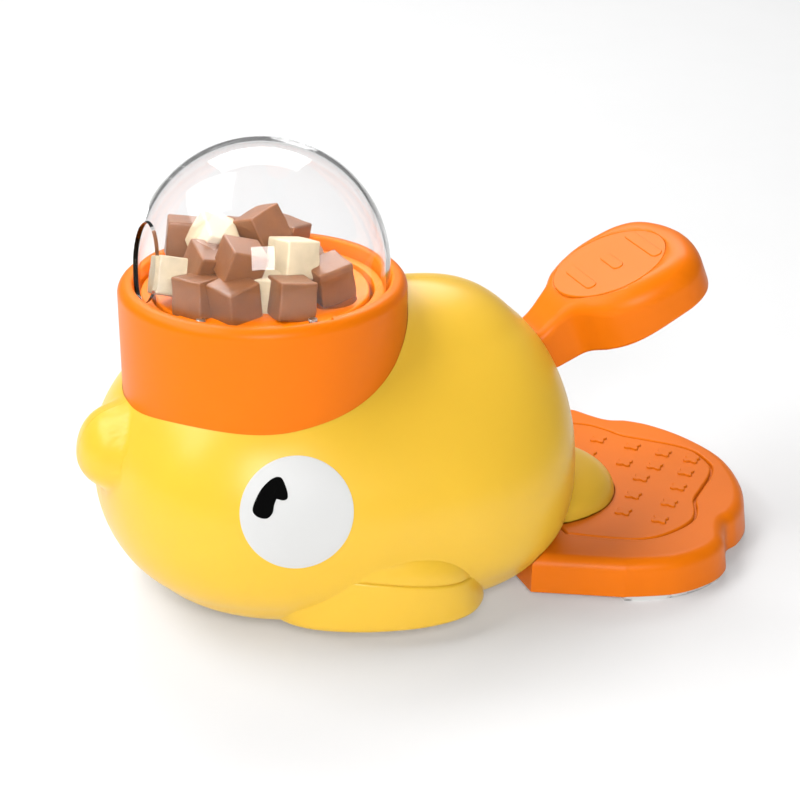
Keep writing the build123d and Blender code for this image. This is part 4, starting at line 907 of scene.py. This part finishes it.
class DUCK_OT_hopper(bpy.types.Operator):
    """Make the collar, and carry over the disc, floor and shield in it"""
    bl_idname = "duck.hopper"
    bl_label = "Hopper"

    def execute(self, context):
        straight = COLLAR_TOP - COLLAR_ROUND - COLLAR_BOTTOM
        profile = [(COLLAR_RADIUS, COLLAR_BOTTOM + k * straight / 12) for k in range(12)]
        profile += corner(COLLAR_RADIUS - COLLAR_ROUND, COLLAR_TOP - COLLAR_ROUND, COLLAR_ROUND, 0, 90, 12)
        profile += corner(LIP_INNER + LIP_ROUND, COLLAR_TOP - LIP_ROUND, LIP_ROUND, 90, 180, 6)
        profile += [(LIP_INNER, GROOVE_Z), (GROOVE_WALL, GROOVE_Z)]
        profile += corner(GROOVE_WALL - LEDGE_ROUND, LEDGE_Z - LEDGE_ROUND, LEDGE_ROUND, 0, 90, 4)
        profile += corner(LEDGE_RADIUS + LEDGE_ROUND, LEDGE_Z - LEDGE_ROUND, LEDGE_ROUND, 90, 180, 4)
        profile += [(LEDGE_RADIUS, FLOOR_TOP), (SKIRT_RADIUS, FLOOR_TOP), (SKIRT_RADIUS, COLLAR_BOTTOM)]
        ring = mesh_from(turned(profile, 192), ring_faces(len(profile), 192, True), "collar")
        turn = math.radians(NOTCH_TURN)
        away = Vector((math.cos(turn), math.sin(turn), 0))
        aside = Vector((-math.sin(turn), math.cos(turn), 0))
        middle = Vector((HOPPER_X, 0, COLLAR_TOP - NOTCH_DEEP))
        notch = []
        for side, ends in ((-NOTCH_HALF, (GROOVE_WALL, LIP_INNER + NOTCH_REACH)),
                           (NOTCH_HALF, (LIP_INNER + NOTCH_REACH, GROOVE_WALL))):
            notch += [tuple(middle + away * radius + aside * side) for radius in ends]
        cuts = [prism(notch, (0, 0, NOTCH_CUT)), block(*DRIVE_GAP)]
        collar = applied(ring, cuts, "hopper_collar")
        new_piece("hopper_collar_ring", collar, "housing", "orange_trim", ("hopper_collar",), 40.0)
        for node in ("hopper_floor", "treat_shield", "dispensing_disc", "shield_screws", "spindle_screw"):
            dress(node)
        return {"FINISHED"}


class DUCK_OT_dome(bpy.types.Operator):
    """Make the clear dome with its pouring hole"""
    bl_idname = "duck.dome"
    bl_label = "Dome"

    def execute(self, context):
        inner = DOME_RADIUS - DOME_WALL
        edge = DOME_FOOT + DOME_BEVEL
        rises = [(DOME_Z - edge) * k / DOME_STEPS for k in range(1, DOME_STEPS)]
        profile = [(DOME_RADIUS - DOME_BEVEL, DOME_FOOT), (DOME_RADIUS, edge)]
        profile += [(DOME_RADIUS, edge + rise) for rise in rises]
        profile += corner(0.0, DOME_Z, DOME_RADIUS, 0, DOME_TURN, DOME_RINGS)
        under = len(profile) * DOME_COUNT
        top = under - DOME_COUNT
        profile += corner(0.0, DOME_Z, inner, 0, DOME_TURN, DOME_RINGS)[::-1]
        profile += [(inner, DOME_Z - rise) for rise in rises]
        profile += [(inner, edge), (inner + DOME_BEVEL, DOME_FOOT)]
        points = turned(profile, DOME_COUNT)
        points += [(HOPPER_X, 0, DOME_Z + DOME_RADIUS), (HOPPER_X, 0, DOME_Z + inner)]
        sides = ring_faces(len(profile), DOME_COUNT, True)
        faces = [face for face in sides if not top <= face[0] < under]
        for k in range(DOME_COUNT):
            faces.append((top + k, top + (k + 1) % DOME_COUNT, len(points) - 2))
        for k in range(DOME_COUNT):
            faces.append((under + (k + 1) % DOME_COUNT, under + k, len(points) - 1))
        hole = [(DOME_HOLE_X, y, DOME_HOLE_Z + z) for y, z in circle(DOME_HOLE, 96)]
        clear = applied(mesh_from(points, faces, "dome"), [prism(hole, (DOME_HOLE_CUT, 0, 0))], "dome_cover")
        new_piece("dome_cover_clear", without_twins(clear), "dome", "clear_dome", ("dome_cover",), 40.0)
        return {"FINISHED"}


# Paddle

def on_paddle(along, across, up):
    """Point of the paddle's own plane in the frame."""
    slope = math.radians(PADDLE_SLOPE)
    x, y, z = PADDLE_ANCHOR
    return (x + along * math.cos(slope) - up * math.sin(slope), y + across,
            z + along * math.sin(slope) + up * math.cos(slope))


def droop(along):
    """How far the neck bends down towards the casing."""
    return NECK_DROOP * (1 - eased(*NECK_BEND, along))


def belly(along):
    """How much deeper the paddle is where the neck meets the spoon."""
    return NECK_BELLY * (1 - eased(*BELLY_ENDS, along)) * eased(*BELLY_STARTS, along)


def paddle_pad():
    """Spoon of the paddle with its neck, rounded above and below."""
    half = [(NECK_START * share, -NECK_WIDTH) for share in (1.0, 0.7, 0.4)] + list(NECK_JOIN)
    half += [(x * PADDLE_LENGTH, -y * PADDLE_WIDTH) for x, y in PADDLE]
    other = [(x, -y) for x, y in reversed(half)]
    outline = through(half + [(PADDLE_LENGTH, 0.0)] + other, 9)
    rounds, drops, depths = [], [], []
    for along, _ in outline:
        rounds.append(NECK_ROUND + (PADDLE_ROUND - NECK_ROUND) * eased(*NECK_SPREAD, along))
        drops.append(droop(along))
        depths.append(NECK_THIN * droop(along) + belly(along))
    rings = []
    for step in range(11):
        turn = math.pi / 2 * step / 10
        line = drawn_in(outline, [size * (1 - math.sin(turn)) for size in rounds])
        rings.append([on_paddle(*spot, -drop - size * (1 - math.cos(turn)))
                      for spot, size, drop in zip(line, rounds, drops)])
    for step in range(7):
        turn = math.pi / 2 * step / 6
        line = drawn_in(outline, [PADDLE_FOOT_ROUND * (1 - math.cos(turn))] * len(outline))
        rise = PADDLE_FOOT_ROUND * (1 - math.sin(turn)) - PADDLE_DEEP
        rings.append([on_paddle(*spot, rise - depth) for spot, depth in zip(line, depths)])
    count = len(outline)
    middle = count // 2
    points = [point for ring in rings for point in ring]
    faces = ring_faces(len(rings), count)
    for start, turn in ((0, 1), ((len(rings) - 1) * count, -1)):
        for k in range(middle - 1):
            faces.append([start + n for n in (k, k + 1, count - 2 - k, count - 1 - k)][::turn])
        faces.append([start + n for n in (middle - 1, middle, middle + 1)][::turn])
    return mesh_from(points, faces, "paddle_pad")


def stadium(size, width, steps=12):
    """Closed outline of a bar with round ends, lying across."""
    straight = (size - width) / 2
    ends = []
    for side in (1, -1):
        for k in range(steps + 1):
            turn = math.pi * k / steps + (0 if side > 0 else math.pi)
            ends.append((width / 2 * math.cos(turn), side * straight + width / 2 * math.sin(turn)))
    return ends


class DUCK_OT_paddle(bpy.types.Operator):
    """Make the spoon-shaped paddle, lay its barred panel in it and carry over its spring"""
    bl_idname = "duck.paddle"
    bl_label = "Paddle"

    def execute(self, context):
        long, wide = PADDLE_PANEL
        rim = [(PADDLE_PANEL_X + long * x, wide * y) for x, y in circle(1.0, 120)]
        up = Vector(on_paddle(0, 0, 1)) - Vector(on_paddle(0, 0, 0))
        pocket = prism([on_paddle(*spot, -PADDLE_PANEL_DEEP) for spot in rim], tuple(up * 20))
        pad = applied(paddle_pad(), [pocket], "paddle_pad")
        beyond = ((HUB_END, -HUB_SIDE), (HUB_FAR, -HUB_SIDE), (HUB_FAR, HUB_SIDE), (HUB_END, HUB_SIDE))
        away = prism([on_paddle(*spot, -HUB_SIDE) for spot in beyond], tuple(up * 2 * HUB_SIDE))
        hub = applied(cad_copy("paddle_lever"), [away], "paddle_hub")
        spoon = joined([pad, hub], "paddle")
        evened(new_piece("paddle_lever_spoon", spoon, "lever", "orange_trim", ("paddle_lever",), 38.0))
        line = drawn_in(rim, [PADDLE_PANEL_GAP] * len(rim))
        forms = [raised(line, on_paddle, PANEL_RISE - PADDLE_PANEL_DEEP, PANEL_RISE, PANEL_SOFT)]
        for along, size in BARS:
            bar = [(along + x, y) for x, y in stadium(size, BAR_WIDTH)]
            forms.append(raised(bar, on_paddle, BAR_ROOT, BAR_RISE, PANEL_SOFT))
        panel = joined(forms, "paddle_panel")
        evened(new_piece("paddle_inlay_barred", panel, "lever", "orange_trim", ("paddle_inlay",), 38.0))
        spring = dress("return_spring", 50.0)
        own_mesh(spring)
        return {"FINISHED"}


# Tray

def on_tray(along, across, up):
    """Point on the tray, whose plane is the frame's own."""
    return (along, across, up)


def tray_spot(along, across):
    """Place on the tray from shares of its length and half width."""
    return (TRAY_HEEL + along * (TRAY_TIP - TRAY_HEEL), across * TRAY_WIDTH)


def webbed_line(shares, tip):
    """Outline through shares of the tray, the same on both sides of a tip."""
    near = [tray_spot(x, -y) for x, y in shares]
    far = [(x, -y) for x, y in reversed(near)]
    return through(near + [(tip, 0.0)] + far, 9)


def lobed_print(x, y):
    """Four-lobed outline of a small raised print."""
    spots = []
    for step in range(64):
        turn = 2 * math.pi * step / 64
        size = PRINT_REACH * (1 - PRINT_LOBES + PRINT_LOBES * math.cos(4 * turn))
        spots.append((x + size * math.cos(turn), y + size * math.sin(turn)))
    return spots


class DUCK_OT_tray(bpy.types.Operator):
    """Make the webbed tray with its printed panel, and carry over its pads and the tail ramp"""
    bl_idname = "duck.tray"
    bl_label = "Tray"

    def execute(self, context):
        heel = TRAY_HEEL_SHARE * TRAY_WIDTH
        outline = webbed_line(TRAY, TRAY_TIP) + [(TRAY_HEEL, heel * (1 - k / 8)) for k in range(17)]
        rings = [level(outline, inset, TRAY_BOTTOM + rise) for inset, rise in TRAY_FOOT]
        for step in range(9):
            turn = math.pi / 2 * step / 8
            inset = TRAY_DRAFT + TRAY_ROUND * (1 - math.cos(turn))
            rings.append(level(outline, inset, TRAY_TOP - TRAY_ROUND * (1 - math.sin(turn))))
        panel = webbed_line(TRAY_PANEL, tray_spot(TRAY_PANEL_TIP, 0.0)[0])
        pit = [level(panel, inset, TRAY_TOP + rise) for inset, rise in TRAY_PIT]
        seat = [oval(*[size + CASING_ROOM for size in eased_reach(z)], z, 40) for z in CASING_LEVELS]
        foot = applied(stacked(rings, "tray"), [stacked(pit, "pit"), stacked(seat, "seat")], "tray")
        base = joined([foot, block(*TONGUE)], "tray_base")
        evened(new_piece("tray_base_webbed", base, "housing", "orange_trim", ("tray_base",), 38.0))
        sunk = drawn_in(panel, [TRAY_PANEL_GAP] * len(panel))
        low = TRAY_TOP - TRAY_PANEL_DEEP + PLATE_LOW
        plate = raised(sunk, on_tray, low, TRAY_TOP - PLATE_LOW, PLATE_SOFT)
        long, wide = RAMP_REACH
        ramp = [(RAMP_X + long * x, wide * y, TRAY_TOP - RAMP_CUT) for x, y in circle(1.0, 96)]
        forms = [applied(plate, [prism(ramp, (0, 0, 2 * RAMP_CUT))], "tray_plate")]
        for row, columns in PRINTS:
            for column in columns:
                x, y = tray_spot(row, column)
                if math.hypot((x - RAMP_X) / long, y / wide) > RAMP_CLEAR:
                    spots = lobed_print(x, y)
                    root = TRAY_TOP - PRINT_SOFT
                    forms.append(raised(spots, on_tray, root, TRAY_TOP + PRINT_RISE, PRINT_SOFT))
        inlay = joined(forms, "tray_inlay")
        evened(new_piece("tray_inlay_printed", inlay, "housing", "orange_trim", ("tray_inlay",), 38.0))
        for node in ("tray_pads", "tail_ramp"):
            dress(node, 40.0)
        return {"FINISHED"}


class DUCK_OT_works(bpy.types.Operator):
    """Finish the solids that stay in sight: the drive, the chute, the screws and the feet"""
    bl_idname = "duck.works"
    bl_label = "Works"

    def execute(self, context):
        for node, thing in frame["nodes"].items():
            thing.data.materials.clear()
            thing.data.materials.append(finish_of(slot_of(node)))
        return {"FINISHED"}


# Treats

def pixel_ray(px, py):
    """Start and direction of the photograph's ray through a pixel."""
    start = Vector(CAMERA_PLACE)
    ahead = (Vector(CAMERA_AIM) - start).normalized()
    right = ahead.cross(Vector((0, 0, 1))).normalized()
    up = right.cross(ahead)
    half = CAMERA_FRAME / 2
    return start, ahead * CAMERA_FOCUS + right * (px - half) - up * (py - half)


def settle(spots, size):
    """Push treats apart and keep them on the disc and inside the dome."""
    limit = HEAP_RADIUS - size * TREAT_REACH
    for _ in range(HEAP_ROUNDS):
        for a in range(len(spots)):
            for b in range(a):
                gap = spots[a] - spots[b]
                if gap.length < size:
                    push = gap.normalized() * (size - gap.length) * 0.5
                    spots[a] += push
                    spots[b] -= push
        for spot in spots:
            spot.z = max(spot.z, DISC_TOP + TREAT_CLEAR + size * 0.5)
            away = Vector((spot.x - HOPPER_X, spot.y))
            if away.length > limit:
                away = away.normalized() * limit
                spot.x = HOPPER_X + away.x
                spot.y = away.y


def treat_form(edge, number):
    """Cube with rounded edges and shallow dents of its own, from an edge in metres."""
    form = bmesh.new()
    bmesh.ops.create_cube(form, size=edge)
    bmesh.ops.bevel(
        form, geom=form.edges[:], offset=edge * TREAT_ROUND, segments=4, profile=0.6, affect="EDGES")
    long = [side for side in form.edges if side.calc_length() > edge * TREAT_LONG]
    bmesh.ops.subdivide_edges(form, edges=long, cuts=3, use_grid_fill=True)
    for vert in form.verts:
        x, y, z = vert.co / edge
        dent = math.sin(7 * x + number) * math.sin(6 * y + 2 * number) * math.sin(8 * z + 3 * number)
        vert.co += vert.co.normalized() * dent * edge * TREAT_DENT
    return form


class DUCK_OT_treats(bpy.types.Operator):
    """Heap the treat cubes on the disc under the dome"""
    bl_idname = "duck.treats"
    bl_label = "Treats"

    def execute(self, context):
        size = context.scene.duck_sizes.treat / MM
        spots = []
        for px, py, rise, _, _ in TREATS:
            start, ray = pixel_ray(px, py)
            height = DISC_TOP + rise * size
            spots.append(start + ray * ((height - start.z) / ray.z))
        settle(spots, size)
        for number, (spot, treat) in enumerate(zip(spots, TREATS)):
            *_, kind, turns = treat
            form = treat_form(size * MM, number)
            turn = Matrix.Identity(4)
            for angle, axis in zip(turns, "XYZ"):
                turn = Matrix.Rotation(math.radians(angle), 4, axis) @ turn
            bmesh.ops.transform(form, matrix=Matrix.Translation(spot * MM) @ turn, verts=form.verts)
            sunk = (DISC_TOP + TREAT_CLEAR) * MM - min(vert.co.z for vert in form.verts)
            bmesh.ops.translate(form, vec=(0, 0, max(0.0, sunk)), verts=form.verts)
            mesh = bpy.data.meshes.new("treat")
            form.to_mesh(mesh)
            form.free()
            new_piece(f"treat_{number + 1:02d}", mesh, "housing", kind + "_treat", (), 60.0)
        return {"FINISHED"}


# Stage

def aim_at(thing, place, aim):
    """Set a light or camera at a place and turn it to an aim."""
    thing.location = place
    thing.rotation_euler = (Vector(aim) - Vector(place)).to_track_quat("-Z", "Y").to_euler()


def soft_box(name, place, aim, width, height, power):
    """Studio soft box that faces an aim."""
    data = bpy.data.lights.new(name, "AREA")
    data.shape = "RECTANGLE"
    data.size = width
    data.size_y = height
    data.energy = power
    lamp = bpy.data.objects.new(name, data)
    bpy.context.scene.collection.objects.link(lamp)
    aim_at(lamp, place, aim)


def studio_floor(scene):
    """Pale paper floor."""
    half = scene.duck_sizes.floor / 2
    corners = [(-half, -half, 0), (half, -half, 0), (half, half, 0), (-half, half, 0)]
    mesh = bpy.data.meshes.new("floor")
    mesh.from_pydata(corners, [], [(0, 1, 2, 3)])
    floor = bpy.data.objects.new("studio_floor", mesh)
    scene.collection.objects.link(floor)
    paper = finish_of("studio_paper")
    shader = paper.node_tree.nodes["Principled BSDF"]
    set_sockets(shader, {"Emission Color": WHITE, "Emission Strength": PAPER_GLOW})
    mesh.materials.append(paper)


def studio_world(scene):
    """Dim white world that fades upward, and is bright where it is seen, also through the dome."""
    scene.world = bpy.data.worlds.new("studio")
    scene.world.use_nodes = True
    sky = scene.world.node_tree
    look = sky.nodes.new("ShaderNodeTexCoord").outputs["Generated"]
    up = add_node(sky, "ShaderNodeSeparateXYZ", {0: look}).outputs["Z"]
    fade = ranged(sky, up, 0.0, SKY_FADE, SKY_LEVEL, SKY_TOP)
    path = sky.nodes.new("ShaderNodeLightPath").outputs
    seen = maths(sky, "MAXIMUM", path["Is Camera Ray"], path["Is Transmission Ray"])
    sheen = maths(sky, "MULTIPLY", path["Is Glossy Ray"], SKY_SHEEN)
    strength = mixed(sky, maths(sky, "MAXIMUM", seen, sheen), fade, SKY_SEEN, "FLOAT")
    background = sky.nodes["Background"]
    set_sockets(background, {"Color": WHITE})
    sky.links.new(strength, background.inputs["Strength"])


def photo_camera(scene):
    """Camera at the photograph's viewing angle."""
    lens = bpy.data.cameras.new("camera")
    lens.sensor_width = SENSOR
    lens.lens = CAMERA_FOCUS / CAMERA_FRAME * SENSOR
    lens.clip_start = 0.01
    lens.clip_end = 50.0
    camera = bpy.data.objects.new("camera", lens)
    scene.collection.objects.link(camera)
    aim_at(camera, Vector(CAMERA_PLACE) * MM, Vector(CAMERA_AIM) * MM)
    scene.camera = camera


class DUCK_OT_stage(bpy.types.Operator):
    """Set the pale floor, the soft studio lights and the camera"""
    bl_idname = "duck.stage"
    bl_label = "Stage"

    def execute(self, context):
        studio_floor(context.scene)
        studio_world(context.scene)
        for name, place, width, height, power in LIGHTS:
            soft_box(name, place, (HOPPER_X * MM, 0.0, DOME_Z * MM), width, height, power)
        context.scene.view_settings.view_transform = "Standard"
        photo_camera(context.scene)
        return {"FINISHED"}


class DUCK_PT_panel(bpy.types.Panel):
    """Sidebar panel with the dispenser's pieces"""
    bl_idname = "DUCK_PT_panel"
    bl_label = "Duck Dispenser"
    bl_space_type = "VIEW_3D"
    bl_region_type = "UI"
    bl_category = "Duck"

    def draw(self, context):
        for group in (context.scene.duck_colours, context.scene.duck_sizes):
            for key in group.__annotations__:
                self.layout.prop(group, key)
        for step in STEPS:
            self.layout.operator(step.bl_idname)


STEPS = (
    DUCK_OT_works, DUCK_OT_casing, DUCK_OT_eyes, DUCK_OT_wings, DUCK_OT_hopper, DUCK_OT_dome, DUCK_OT_paddle,
    DUCK_OT_tray, DUCK_OT_treats, DUCK_OT_stage,
)
CLASSES = (DuckColours, DuckSizes) + STEPS + (DUCK_PT_panel,)


def register():
    for item in CLASSES:
        bpy.utils.register_class(item)
    bpy.types.Scene.duck_colours = bpy.props.PointerProperty(type=DuckColours)
    bpy.types.Scene.duck_sizes = bpy.props.PointerProperty(type=DuckSizes)


def unregister():
    del bpy.types.Scene.duck_sizes
    del bpy.types.Scene.duck_colours
    for item in reversed(CLASSES):
        bpy.utils.unregister_class(item)


def main():
    register()
    for step in STEPS:
        family, action = step.bl_idname.split(".")
        getattr(getattr(bpy.ops, family), action)()


if __name__ == "__main__":
    main()
